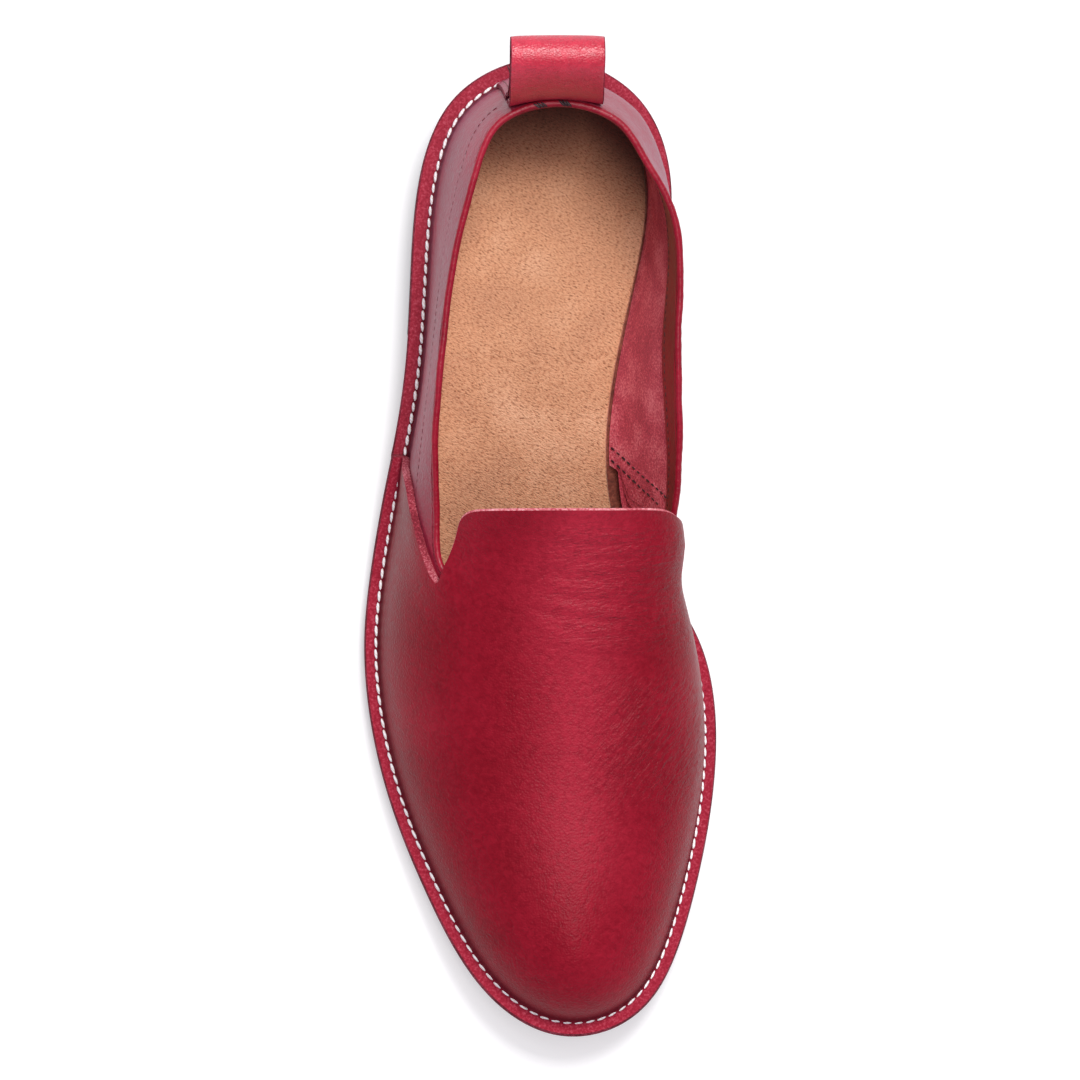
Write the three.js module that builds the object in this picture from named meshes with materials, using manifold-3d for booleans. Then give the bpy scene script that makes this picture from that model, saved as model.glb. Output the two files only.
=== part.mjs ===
// A leather slip-on slipper shoe for the right foot, with a turned-out stitched flange and a heel loop.
// Millimetres. +Z is up, the toe points to -Y, the inner (medial) side of the foot is +X.
// The shoe is first worked out on a level sole seat, and then every point is raised by the sole's own
// curve: heel lift, arch and toe spring.

import * as THREE from 'three';
import Module from 'manifold-3d';
import { mergeVertices } from 'three/addons/utils/BufferGeometryUtils.js';

const wasm = await Module();
wasm.setup();

// Driving sizes
const shoe_length = 297;
const ball_width = 107;
const instep_height = 64.5;
const collar_height = 57;
const heel_height = 15;
const heel_length = 84;
const heel_inset = 0.6;
const toe_spring = 9;
const outsole_thickness = 6.5;
const insole_thickness = 2.6;
const insole_clearance = 0.4;
const flange_width = 5.1;
const flange_thickness = 1.8;
const upper_wall = 2.2;
const vamp_step = 1.2;
const binding_height = 2.2;
const binding_lip_width = 0.35;
const loop_width = 28.7;
const loop_thickness = 1.6;
const loop_rise = 24.5;
const loop_shift = -1.2;
const clearance = 0.3;

// How finely the curved forms are divided
const stations = 40;
const rises = 12;
const loop_strips = 8;
const edge_steps = 24;

// The sole's outline. at: share of the length from the heel. lateral, medial: shares of the ball width.
const plan = [
  { at: 0.000, lateral: -0.010, medial: -0.010 },
  { at: 0.012, lateral: -0.160, medial: 0.138 },
  { at: 0.041, lateral: -0.272, medial: 0.249 },
  { at: 0.090, lateral: -0.346, medial: 0.322 },
  { at: 0.156, lateral: -0.382, medial: 0.341 },
  { at: 0.246, lateral: -0.397, medial: 0.298 },
  { at: 0.349, lateral: -0.420, medial: 0.241 },
  { at: 0.452, lateral: -0.468, medial: 0.246 },
  { at: 0.534, lateral: -0.503, medial: 0.331 },
  { at: 0.587, lateral: -0.517, medial: 0.418 },
  { at: 0.649, lateral: -0.511, medial: 0.470 },
  { at: 0.715, lateral: -0.480, medial: 0.478 },
  { at: 0.780, lateral: -0.427, medial: 0.459 },
  { at: 0.846, lateral: -0.353, medial: 0.421 },
  { at: 0.912, lateral: -0.262, medial: 0.366 },
  { at: 0.961, lateral: -0.161, medial: 0.293 },
  { at: 0.990, lateral: -0.050, medial: 0.192 },
  { at: 1.000, lateral: 0.069, medial: 0.069 },
];

// The form of the last above the sole. ridge: height as a share of the instep height. crest: where the
// ridge lies across, as a share of the ball width. lateral_full, medial_full: how square each side is.
// lateral_swell, medial_swell: how far each wall stands out past its foot, as shares of the ball width.
// bend: how low that swell starts, where 1 is a straight slope.
const last = [
  { at: 0.000, ridge: 1.470, crest: -0.010, lateral_full: 3.00, medial_full: 3.00, lateral_swell: -0.060,
    medial_swell: -0.060, bend: 2.0 },
  { at: 0.035, ridge: 1.470, crest: -0.008, lateral_full: 3.00, medial_full: 3.00, lateral_swell: -0.038,
    medial_swell: -0.038, bend: 1.9 },
  { at: 0.100, ridge: 1.460, crest: -0.004, lateral_full: 3.00, medial_full: 3.00, lateral_swell: -0.034,
    medial_swell: -0.008, bend: 1.7 },
  { at: 0.150, ridge: 1.445, crest: 0.000, lateral_full: 3.00, medial_full: 3.00, lateral_swell: -0.026,
    medial_swell: 0.052, bend: 1.4 },
  { at: 0.200, ridge: 1.420, crest: 0.006, lateral_full: 3.00, medial_full: 3.00, lateral_swell: -0.010,
    medial_swell: 0.094, bend: 1.1 },
  { at: 0.270, ridge: 1.380, crest: 0.018, lateral_full: 3.00, medial_full: 3.00, lateral_swell: 0.006,
    medial_swell: 0.126, bend: 0.9 },
  { at: 0.360, ridge: 1.250, crest: 0.034, lateral_full: 2.80, medial_full: 3.10, lateral_swell: 0.012,
    medial_swell: 0.164, bend: 0.8 },
  { at: 0.450, ridge: 1.030, crest: 0.046, lateral_full: 2.40, medial_full: 3.20, lateral_swell: 0.007,
    medial_swell: 0.156, bend: 0.8 },
  { at: 0.530, ridge: 0.900, crest: 0.046, lateral_full: 2.35, medial_full: 3.00, lateral_swell: 0.003,
    medial_swell: 0.090, bend: 0.9 },
  { at: 0.600, ridge: 0.790, crest: 0.042, lateral_full: 2.30, medial_full: 2.70, lateral_swell: 0.000,
    medial_swell: 0.033, bend: 1.0 },
  { at: 0.700, ridge: 0.655, crest: 0.042, lateral_full: 2.30, medial_full: 2.50, lateral_swell: 0.000,
    medial_swell: 0.015, bend: 1.0 },
  { at: 0.800, ridge: 0.545, crest: 0.048, lateral_full: 2.30, medial_full: 2.40, lateral_swell: 0.000,
    medial_swell: 0.008, bend: 1.0 },
  { at: 0.900, ridge: 0.440, crest: 0.056, lateral_full: 2.30, medial_full: 2.30, lateral_swell: 0.000,
    medial_swell: 0.003, bend: 1.0 },
  { at: 1.000, ridge: 0.310, crest: 0.066, lateral_full: 2.30, medial_full: 2.30, lateral_swell: 0.000,
    medial_swell: 0.000, bend: 1.0 },
];
const ridge_start = 0.12;
const ridge_end = 0.89;
const swell_peak = 0.6;

// The collar's edge seen from the side. up: share of the collar height at the heel.
const collar = [
  { at: 0.000, up: 1.000 },
  { at: 0.100, up: 0.960 },
  { at: 0.200, up: 0.855 },
  { at: 0.300, up: 0.773 },
  { at: 0.395, up: 0.735 },
  { at: 0.470, up: 0.706 },
  { at: 0.515, up: 0.718 },
  { at: 0.5385, up: 0.768 },
];
const binding_end = 0.520;

// The throat tab's edge from the bottom of the side notch up to its straight top edge.
const notch = [
  { at: 0.5345, up: 0.782 },
  { at: 0.5220, up: 0.812 },
  { at: 0.5130, up: 0.838 },
  { at: 0.5010, up: 0.866 },
  { at: 0.4880, up: 0.893 },
  { at: 0.4790, up: 0.911 },
  { at: 0.4710, up: 0.936 },
  { at: 0.4665, up: 0.965 },
  { at: 0.4640, up: 1.000 },
  { at: 0.4630, up: 1.060 },
];

// The vamp's rear edge, from the flange up to the bottom of the notch.
const vamp_edge = [
  { at: 0.4025, up: 0.000 },
  { at: 0.4200, up: 0.200 },
  { at: 0.4400, up: 0.430 },
  { at: 0.4620, up: 0.535 },
  { at: 0.4800, up: 0.603 },
  { at: 0.4950, up: 0.650 },
  { at: 0.5155, up: 0.708 },
  { at: 0.5320, up: 0.748 },
  { at: 0.5385, up: 0.768 },
];

// The heel loop and stay seen from the side. up: share of the collar height on the wall, and above the
// collar a share of the loop's rise. out: how far the strip stands off its seat, as a share of the loop
// width. under: how many layers of the strip lie beneath. lip: whether the binding lies beneath. hug: how
// much the strip follows the round of the heel.
const loop_wall_rows = [
  { up: 0.860, out: 0.004, under: 0, lip: 0, hug: 1.00 },
  { up: 0.930, out: 0.004, under: 0, lip: 0, hug: 1.00 },
  { up: 1.000, out: 0.008, under: 0, lip: 1, hug: 0.97 },
];
const loop_free_rows = [
  { up: 0.16, out: 0.024, under: 0, lip: 1, hug: 0.88 },
  { up: 0.40, out: 0.100, under: 0, lip: 0, hug: 0.60 },
  { up: 0.66, out: 0.237, under: 0, lip: 0, hug: 0.32 },
  { up: 0.86, out: 0.377, under: 0, lip: 0, hug: 0.14 },
  { up: 0.97, out: 0.487, under: 0, lip: 0, hug: 0.06 },
  { up: 1.00, out: 0.567, under: 0, lip: 0, hug: 0.04 },
  { up: 0.95, out: 0.640, under: 0, lip: 0, hug: 0.04 },
  { up: 0.82, out: 0.667, under: 0, lip: 0, hug: 0.08 },
  { up: 0.62, out: 0.592, under: 0, lip: 0, hug: 0.25 },
  { up: 0.38, out: 0.417, under: 0, lip: 0, hug: 0.45 },
  { up: 0.14, out: 0.262, under: 0, lip: 0, hug: 0.70 },
];
const stay_rows = [
  { up: 0.965, out: 0.080, under: 1.0, lip: 0, hug: 0.95 },
  { up: 0.890, out: 0.016, under: 1.0, lip: 0, hug: 1.00 },
  { up: 0.820, out: 0.004, under: 1.0, lip: 0, hug: 1.00 },
  { up: 0.750, out: 0.004, under: 0.3, lip: 0, hug: 1.00 },
  { up: 0.660, out: 0.004, under: 0.0, lip: 0, hug: 1.00 },
  { up: 0.500, out: 0.004, under: 0.0, lip: 0, hug: 1.00 },
  { up: 0.340, out: 0.004, under: 0.0, lip: 0, hug: 1.00 },
  { up: 0.190, out: 0.004, under: 0.0, lip: 0, hug: 1.00 },
  { up: 0.060, out: 0.004, under: 0.0, lip: 0, hug: 1.00 },
];

// The sole's own curve: the seat is level as far as the heel's breast, and then the tread and the toe
// spring begin at these shares of the length.
const seat_end = heel_length / shoe_length;
const tread_start = 0.56;
const tread_end = 0.72;
const spring_power = 1.9;

// How far round from the heel's middle the loop can reach, as turns
const heel_reach = 0.3;

// Cutting blocks reach this share of the length past both ends, and these levels above and below the shoe
const past_end = 0.2;
const sky = 3 * collar_height;
const ground = -sky;

// Small numbers for the working out: a tangent's half step as a turn, the halvings of a search, and the
// distance at which two points are one
const tangent_step = 0.0005;
const halvings = 30;
const weld_distance = 1e-5;

const lerp = THREE.MathUtils.lerp;

// A natural cubic spline through the given values
function spline(knots, values) {
  const count = knots.length;
  const bend = new Array(count).fill(0);
  const carry = new Array(count).fill(0);
  for (let i = 1; i < count - 1; i += 1) {
    const before = knots[i] - knots[i - 1];
    const after = knots[i + 1] - knots[i];
    const turn = (values[i + 1] - values[i]) / after - (values[i] - values[i - 1]) / before;
    const pivot = 2 * (before + after) - before * carry[i - 1];
    carry[i] = after / pivot;
    bend[i] = (6 * turn - before * bend[i - 1]) / pivot;
  }
  for (let i = count - 2; i > 0; i -= 1) {
    bend[i] -= carry[i] * bend[i + 1];
  }
  return (place) => {
    let i = 0;
    while (i < count - 2 && place > knots[i + 1]) {
      i += 1;
    }
    const width = knots[i + 1] - knots[i];
    const b = (place - knots[i]) / width;
    const a = 1 - b;
    const pull = ((a ** 3 - a) * bend[i] + (b ** 3 - b) * bend[i + 1]) * width * width / 6;
    return a * values[i] + b * values[i + 1] + pull;
  };
}

function column(table, name) {
  return spline(table.map((row) => row.at), table.map((row) => row[name]));
}

// Turn runs from 0 at the heel along the medial side to 1 at the toe, and back to 2 along the lateral side.
const turnAt = (at) => Math.acos(1 - 2 * at) / Math.PI;
const stationAt = (turn) => (1 - Math.cos(Math.PI * turn)) / 2;

// The outline as one closed curve: the table's rows go round once, with a few repeated past each end
function outlineCurve() {
  const medial = plan.map((row) => ({ turn: turnAt(row.at), across: row.medial }));
  const lateral = plan.slice(1, -1).reverse();
  const back = lateral.map((row) => ({ turn: 2 - turnAt(row.at), across: row.lateral }));
  const ring = [...medial, ...back];
  const before = ring.slice(-3).map((row) => ({ turn: row.turn - 2, across: row.across }));
  const after = ring.slice(0, 4).map((row) => ({ turn: row.turn + 2, across: row.across }));
  const rows = [...before, ...ring, ...after];
  return spline(rows.map((row) => row.turn), rows.map((row) => row.across));
}

const across = outlineCurve();
const form = {};
for (const name of Object.keys(last[0])) {
  form[name] = column(last, name);
}

// A point of the outline, moved in by the inset, with its outward direction
function outlinePoint(turn, inset) {
  const spot = (t) => new THREE.Vector2(across(t) * ball_width, -stationAt(t) * shoe_length);
  const wrapped = ((turn % 2) + 2) % 2;
  const here = spot(wrapped);
  const along = spot(wrapped + tangent_step).sub(spot(wrapped - tangent_step)).normalize();
  const outward = new THREE.Vector2(-along.y, along.x);
  return { place: here.addScaledVector(outward, -inset), outward };
}

// A point on the last's form: rise runs from 0 at the foot of the wall to 1 on the ridge, and grow moves
// the whole surface outwards.
function skinPoint(turn, rise, grow) {
  const at = stationAt(turn);
  const medial = turn <= 1;
  const { place, outward } = outlinePoint(turn, flange_width - grow);
  const crest_at = lerp(ridge_start, ridge_end, at);
  const crest = new THREE.Vector2(form.crest(crest_at) * ball_width, -crest_at * shoe_length);
  const full = medial ? form.medial_full(at) : form.lateral_full(at);
  const angle = rise * Math.PI / 2;
  const reach = (Math.cos(angle) ** full + Math.sin(angle) ** full) ** (1 / full);
  const side = rise === 1 ? 0 : Math.cos(angle) / reach;
  const up = Math.sin(angle) / reach;
  const swell = (medial ? form.medial_swell(at) : form.lateral_swell(at)) * ball_width;
  const share = (up / swell_peak) ** form.bend(at) * (1 - up ** 6) / (1 - swell_peak ** 6);
  const flat = crest.clone().lerp(place, side).addScaledVector(outward, swell * share);
  const height = (form.ridge(-flat.y / shoe_length) * instep_height + grow) * up;
  return new THREE.Vector3(flat.x, flat.y, clearance + height);
}

// The sole's own curve above the floor
function soleLift(y) {
  const at = -y / shoe_length;
  const arch = THREE.MathUtils.smoothstep(at, seat_end, tread_start);
  const spring = Math.max(0, (at - tread_end) / (1 - tread_end));
  return heel_height * (1 - arch) + toe_spring * spring ** spring_power;
}

// Closed surface from rings of points that all run round the shoe, closed at both ends by strips from side
// to side. A ring is indexed like the turns: heel tip, medial side, toe tip, lateral side.
function ringSolid(rings, joined_top) {
  const points = [];
  const faces = [];
  const around = 2 * stations;
  rings.forEach((ring) => ring.forEach((point) => points.push(point.x, point.y, point.z)));
  const top = rings.length - 1;
  const mate = (i) => (around - i) % around;
  const index = (ring, i) => {
    const spot = i % around;
    const kept = joined_top && ring === top && spot > stations ? mate(spot) : spot;
    return ring * around + kept;
  };
  const quad = (a, b, c, d) => {
    faces.push([a, b, c], [a, c, d]);
  };
  for (let ring = 0; ring < top; ring += 1) {
    for (let i = 0; i < around; i += 1) {
      quad(index(ring, i + 1), index(ring, i), index(ring + 1, i), index(ring + 1, i + 1));
    }
  }
  for (let i = 0; i < stations; i += 1) {
    quad(index(0, i), index(0, i + 1), index(0, mate(i + 1)), index(0, mate(i)));
    if (!joined_top) {
      quad(index(top, i + 1), index(top, i), index(top, mate(i)), index(top, mate(i + 1)));
    }
  }
  const real = faces.filter(([a, b, c]) => a !== b && b !== c && c !== a);
  const geometry = new THREE.BufferGeometry();
  geometry.setAttribute('position', new THREE.Float32BufferAttribute(points, 3));
  geometry.setIndex(real.flat());
  return toSolid(geometry);
}

function toSolid(geometry) {
  geometry.deleteAttribute('normal');
  geometry.deleteAttribute('uv');
  const merged = mergeVertices(geometry, weld_distance);
  const kept = [];
  const index = merged.index.array;
  for (let i = 0; i < index.length; i += 3) {
    const [a, b, c] = [index[i], index[i + 1], index[i + 2]];
    if (a !== b && b !== c && c !== a) {
      kept.push(a, b, c);
    }
  }
  return new wasm.Manifold(new wasm.Mesh({
    numProp: 3,
    vertProperties: new Float32Array(merged.attributes.position.array),
    triVerts: new Uint32Array(kept),
  }));
}

function turnRing(makePoint) {
  return Array.from({ length: 2 * stations }, (_, i) => makePoint(i / stations));
}

// The filled form of the last, grown by a distance, down to a bottom level
function lastSolid(grow, bottom) {
  const rings = [];
  if (bottom < clearance) {
    rings.push(turnRing((turn) => skinPoint(turn, 0, grow).setZ(bottom)));
  }
  for (let k = 0; k <= rises; k += 1) {
    rings.push(turnRing((turn) => skinPoint(turn, k / rises, grow)));
  }
  return ringSolid(rings, true);
}

// A level plate with the outline's shape between two heights
function plateSolid(inset, bottom, top) {
  const level = (height) => turnRing((turn) => {
    const { place } = outlinePoint(turn, inset);
    return new THREE.Vector3(place.x, place.y, height);
  });
  return ringSolid([level(bottom), level(top)], false);
}

// A block with the given outline seen from the side, right across the shoe
function sideBlock(outline) {
  const shape = new THREE.Shape(outline.map(([at, height]) => new THREE.Vector2(-at * shoe_length, height)));
  const geometry = new THREE.ExtrudeGeometry(shape, { depth: 2 * ball_width, bevelEnabled: false });
  geometry.applyMatrix4(new THREE.Matrix4().makeBasis(
    new THREE.Vector3(0, 1, 0), new THREE.Vector3(0, 0, 1), new THREE.Vector3(1, 0, 0)));
  geometry.translate(-ball_width, 0, 0);
  return toSolid(geometry);
}

const collar_up = column(collar, 'up');
const notch_at = collar[collar.length - 1].at;
const edgeHeight = (up) => clearance + up * collar_height;
const edgePoints = (rows) => rows.map((row) => [row.at, edgeHeight(row.up)]);

// The collar's edge as points seen from the side, raised by a distance, up to a station
function collarLine(raise, end) {
  const points = [[-past_end, edgeHeight(collar_up(0)) + raise]];
  for (let i = 0; i <= edge_steps; i += 1) {
    const at = end * i / edge_steps;
    points.push([at, edgeHeight(collar_up(at)) + raise]);
  }
  return points;
}

function openingBlock() {
  const throat = notch[notch.length - 1];
  const rim = [...collarLine(0, notch_at), ...edgePoints(notch)];
  return sideBlock([...rim, [throat.at, sky], [-past_end, sky]]);
}

function bindingBlock() {
  const lower = collarLine(clearance, binding_end);
  const upper = collarLine(clearance + binding_height, binding_end).reverse();
  return sideBlock([...lower, ...upper]);
}

// Everything in front of the vamp's rear edge
function vampBlock() {
  const throat = notch[notch.length - 1];
  const rear = [...edgePoints(vamp_edge), ...edgePoints(notch)];
  const front = [[1 + past_end, sky], [1 + past_end, ground]];
  return sideBlock([[vamp_edge[0].at, ground], ...rear, [throat.at, sky], ...front]);
}

function upperSolid() {
  const flange_top = clearance + flange_thickness;
  const lap = lastSolid(vamp_step, clearance).add(plateSolid(0, clearance, flange_top + vamp_step));
  const vamp = lap.intersect(vampBlock());
  const quarter = lastSolid(0, clearance).add(plateSolid(0, clearance, flange_top));
  return quarter.add(vamp).subtract(lastSolid(-upper_wall, -outsole_thickness)).subtract(openingBlock());
}

function bindingSolid() {
  const ring = lastSolid(binding_lip_width, clearance).subtract(
    lastSolid(-upper_wall - binding_lip_width, -outsole_thickness));
  return ring.intersect(bindingBlock());
}

function insoleSolid() {
  const inset = flange_width + upper_wall + insole_clearance;
  return plateSolid(inset, clearance, clearance + insole_thickness);
}

function heelSolid() {
  const plate = plateSolid(heel_inset, -outsole_thickness - heel_height, -outsole_thickness - clearance);
  const kept = sideBlock([[-past_end, ground], [seat_end, ground], [seat_end, sky], [-past_end, sky]]);
  return plate.intersect(kept);
}

// The value between two limits at which a rising function reaches its aim
function solve(rising, aim, low, high) {
  let [near, far] = [low, high];
  for (let i = 0; i < halvings; i += 1) {
    const middle = (near + far) / 2;
    if (rising(middle) < aim) {
      near = middle;
    } else {
      far = middle;
    }
  }
  return near;
}

// How far back the wall's outer face lies behind the heel, at a height and a distance across
function heelWall(height, x) {
  const pointAt = (swing) => {
    const turn = swing < 0 ? swing + 2 : swing;
    const rise = solve((value) => skinPoint(turn, value, 0).z, height, 0, 1);
    return skinPoint(turn, rise, 0);
  };
  return pointAt(solve((swing) => pointAt(swing).x, x, -heel_reach, heel_reach)).y;
}

// The loop and its stay as one strip of leather, bent along its rows and round the heel
function loopSolid() {
  const loop_middle = across(0) * ball_width + loop_shift;
  const wallRow = (row) => ({ ...row, height: edgeHeight(row.up), wall: edgeHeight(row.up) });
  const freeRow = (row) => ({
    ...row, height: edgeHeight(1) + row.up * loop_rise, wall: edgeHeight(1),
  });
  const rows = [...loop_wall_rows.map(wallRow), ...loop_free_rows.map(freeRow), ...stay_rows.map(wallRow)];
  const middles = rows.map((row) => {
    const seat = clearance + row.lip * binding_lip_width + row.under * (loop_thickness + clearance);
    const off = seat + loop_thickness / 2 + row.out * loop_width;
    return new THREE.Vector2(heelWall(row.wall, loop_middle) + off, row.height);
  });
  const normals = middles.map((_, i) => {
    const from = middles[Math.max(0, i - 1)];
    const to = middles[Math.min(middles.length - 1, i + 1)];
    const along = to.clone().sub(from).normalize();
    return new THREE.Vector2(-along.y, along.x);
  });
  const points = [];
  rows.forEach((row, i) => {
    for (const face of [0.5, -0.5]) {
      for (let j = 0; j <= loop_strips; j += 1) {
        const x = loop_middle + (j / loop_strips - 0.5) * loop_width;
        const round = (heelWall(row.wall, x) - heelWall(row.wall, loop_middle)) * row.hug;
        const spot = middles[i].clone().addScaledVector(normals[i], face * loop_thickness);
        points.push(x, spot.x + round, spot.y);
      }
    }
  });
  const row_size = 2 * (loop_strips + 1);
  const near = (i, j) => i * row_size + j;
  const far = (i, j) => near(i, j) + loop_strips + 1;
  const index = [];
  const quad = (a, b, c, d) => index.push(a, b, c, a, c, d);
  const end = rows.length - 1;
  for (let i = 0; i < end; i += 1) {
    for (let j = 0; j < loop_strips; j += 1) {
      quad(near(i, j), near(i, j + 1), near(i + 1, j + 1), near(i + 1, j));
      quad(far(i, j + 1), far(i, j), far(i + 1, j), far(i + 1, j + 1));
    }
    quad(far(i, 0), near(i, 0), near(i + 1, 0), far(i + 1, 0));
    quad(near(i, loop_strips), far(i, loop_strips), far(i + 1, loop_strips), near(i + 1, loop_strips));
  }
  for (let j = 0; j < loop_strips; j += 1) {
    quad(far(0, j), far(0, j + 1), near(0, j + 1), near(0, j));
    quad(near(end, j), near(end, j + 1), far(end, j + 1), far(end, j));
  }
  const geometry = new THREE.BufferGeometry();
  geometry.setAttribute('position', new THREE.Float32BufferAttribute(points, 3));
  geometry.setIndex(index);
  return toSolid(geometry);
}

const shoe = new THREE.Group();

// One piece of the shoe: its points are raised by the sole's curve
function addPiece(name, solid, colour, roughness) {
  const mesh = solid.getMesh();
  const points = Float32Array.from(mesh.vertProperties);
  for (let i = 0; i < points.length; i += 3) {
    points[i + 2] += soleLift(points[i + 1]) + outsole_thickness;
  }
  const geometry = new THREE.BufferGeometry();
  geometry.setAttribute('position', new THREE.BufferAttribute(points, 3));
  geometry.setIndex(new THREE.BufferAttribute(Uint32Array.from(mesh.triVerts), 1));
  const material = new THREE.MeshStandardMaterial({ color: colour, roughness, metalness: 0 });
  const piece = new THREE.Mesh(geometry, material);
  piece.name = name;
  shoe.add(piece);
}

addPiece('outsole', plateSolid(0, -outsole_thickness, 0), '#4a1c20', 0.6);
addPiece('heel', heelSolid(), '#3a1618', 0.6);
addPiece('upper', upperSolid(), '#a01e30', 0.45);
addPiece('collar_binding', bindingSolid(), '#be3a4c', 0.45);
addPiece('insole', insoleSolid(), '#cd8c69', 0.7);
addPiece('pull_loop', loopSolid(), '#be3c50', 0.5);

// The origin is the middle of the shoe's box, on the floor
const box = new THREE.Box3().setFromObject(shoe);
const middle = box.getCenter(new THREE.Vector3());
shoe.position.set(-middle.x, -middle.y, -box.min.z);

export default shoe;
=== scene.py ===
# The looks of a red leather slip-on shoe, right foot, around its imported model.
# Lengths are millimetres in the shoe's own plan: y runs from 0 at the heel to minus the length at the toe,
# x is towards the inner side of the foot, z is above the sole's seat. place() puts them in the frame.
# A station is a share of the length from the heel, a turn is a place round the outline, and a rise is a place
# up the wall.

import math

import bmesh
import bpy
import numpy as np
from mathutils import Matrix, Vector


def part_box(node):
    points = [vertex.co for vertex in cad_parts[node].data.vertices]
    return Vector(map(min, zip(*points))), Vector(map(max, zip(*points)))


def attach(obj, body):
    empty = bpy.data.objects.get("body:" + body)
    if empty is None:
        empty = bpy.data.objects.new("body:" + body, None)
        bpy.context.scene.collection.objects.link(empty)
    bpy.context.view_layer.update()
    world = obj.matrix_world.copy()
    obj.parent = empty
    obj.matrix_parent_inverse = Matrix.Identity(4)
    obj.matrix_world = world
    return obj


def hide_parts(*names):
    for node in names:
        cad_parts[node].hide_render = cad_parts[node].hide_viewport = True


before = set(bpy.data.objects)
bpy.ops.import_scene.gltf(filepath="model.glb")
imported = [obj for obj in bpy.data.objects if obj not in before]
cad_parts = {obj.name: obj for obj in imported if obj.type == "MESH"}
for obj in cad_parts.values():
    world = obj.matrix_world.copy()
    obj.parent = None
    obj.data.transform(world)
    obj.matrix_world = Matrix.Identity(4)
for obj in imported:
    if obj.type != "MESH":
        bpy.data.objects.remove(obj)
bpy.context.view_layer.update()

MM = 0.001

# The last and sole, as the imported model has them
shoe_length = 297.0
ball_width = 107.0
instep_height = 64.5
collar_height = 57.0
heel_height = 15.0
heel_length = 84.0
toe_spring = 9.0
outsole_thickness = 6.5
insole_thickness = 2.6
insole_inset = 7.5
flange_width = 5.1
flange_top = 2.1
vamp_step = 1.2
upper_wall = 2.2
loop_width = 28.7
loop_thickness = 1.6
loop_rise = 24.5
loop_shift = -1.2
clearance = 0.3

# The leathers and seams as the photograph shows them
vamp_thickness = 1.6
lap_swell = 1.3
lap_lift = 0.9
lap_reach = 7.0
tab_skive = 0.9
throat_skive = 0.45
throat_from = 0.86
quarter_thickness = 1.3
quarter_tuck = 0.5
lining_thickness = 0.5
lining_grow = -1.3
facing_depth = 13.0
facing_narrow = 7.5
facing_thickness = 0.4
fold_reach = 1.8
fold_room = 0.45
fold_rise = 4.5
bead_radius = 1.05
bead_lift = 0.75
bead_end = 0.536
loop_lean = 1.0

# Threads: pitch, and length, width and height of a stitch
flange_pitch = 3.53
flange_stitch = (3.15, 1.05, 0.90)
flange_hole = (0.70, 0.75, 0.50)
seam_pitch = 2.3
seam_stitch = (1.50, 0.42, 0.30)
stay_stitch = (1.50, 0.50, 0.35)
lining_pitch = 3.0
lining_stitch = (2.00, 0.70, 0.40)
tack_stitch = (2.60, 0.75, 0.90)
joint_mark = (2.00, 0.40, 0.25)
flange_seam_lift = 0.22
flange_hole_sink = 0.10
collar_seam_sink = 0.02

# Where the seams run: stations at which they start or end, depths in millimetres below or above an edge
flange_seam_start = 0.2
flange_seam_end_turn = 0.046
flange_joint_turn = 0.052
joint_insets = (0.6, 2.2, 3.8)
collar_seam_end = 0.44
collar_seam_rise = 1.2
facing_seam_end = 0.52
facing_seam_rise = 1.6
stay_turn = 0.11
lining_seam_margin = 0.6
tack_places = (-7.0, 0.6)
tack_steps = (-1.0, 0.0, 1.0)

# The groove that the white seam lies in, and a cut edge's bulge: its share of the thickness, and its limit
groove_width = 0.5
groove_depth = 0.22
edge_roundness = 0.35
most_bulge = 0.5
rim_shares = (0.18, 0.5, 0.82)

# How finely the pieces are divided
half_columns = 370
flange_rows = 6
fold_rows = 7
wall_rows = 76
inner_wall_rows = 46
bead_sides = 18
insole_rings = 40
edge_points = 40
collar_points = 60
sharp_degrees = 35.0
# stands for the inset of every point on the wall
wall_inset = 99.0

# The material slots of a leather sheet
good_side, lap_cut, flesh_side, flange_cut, throat_cut = range(5)

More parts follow.
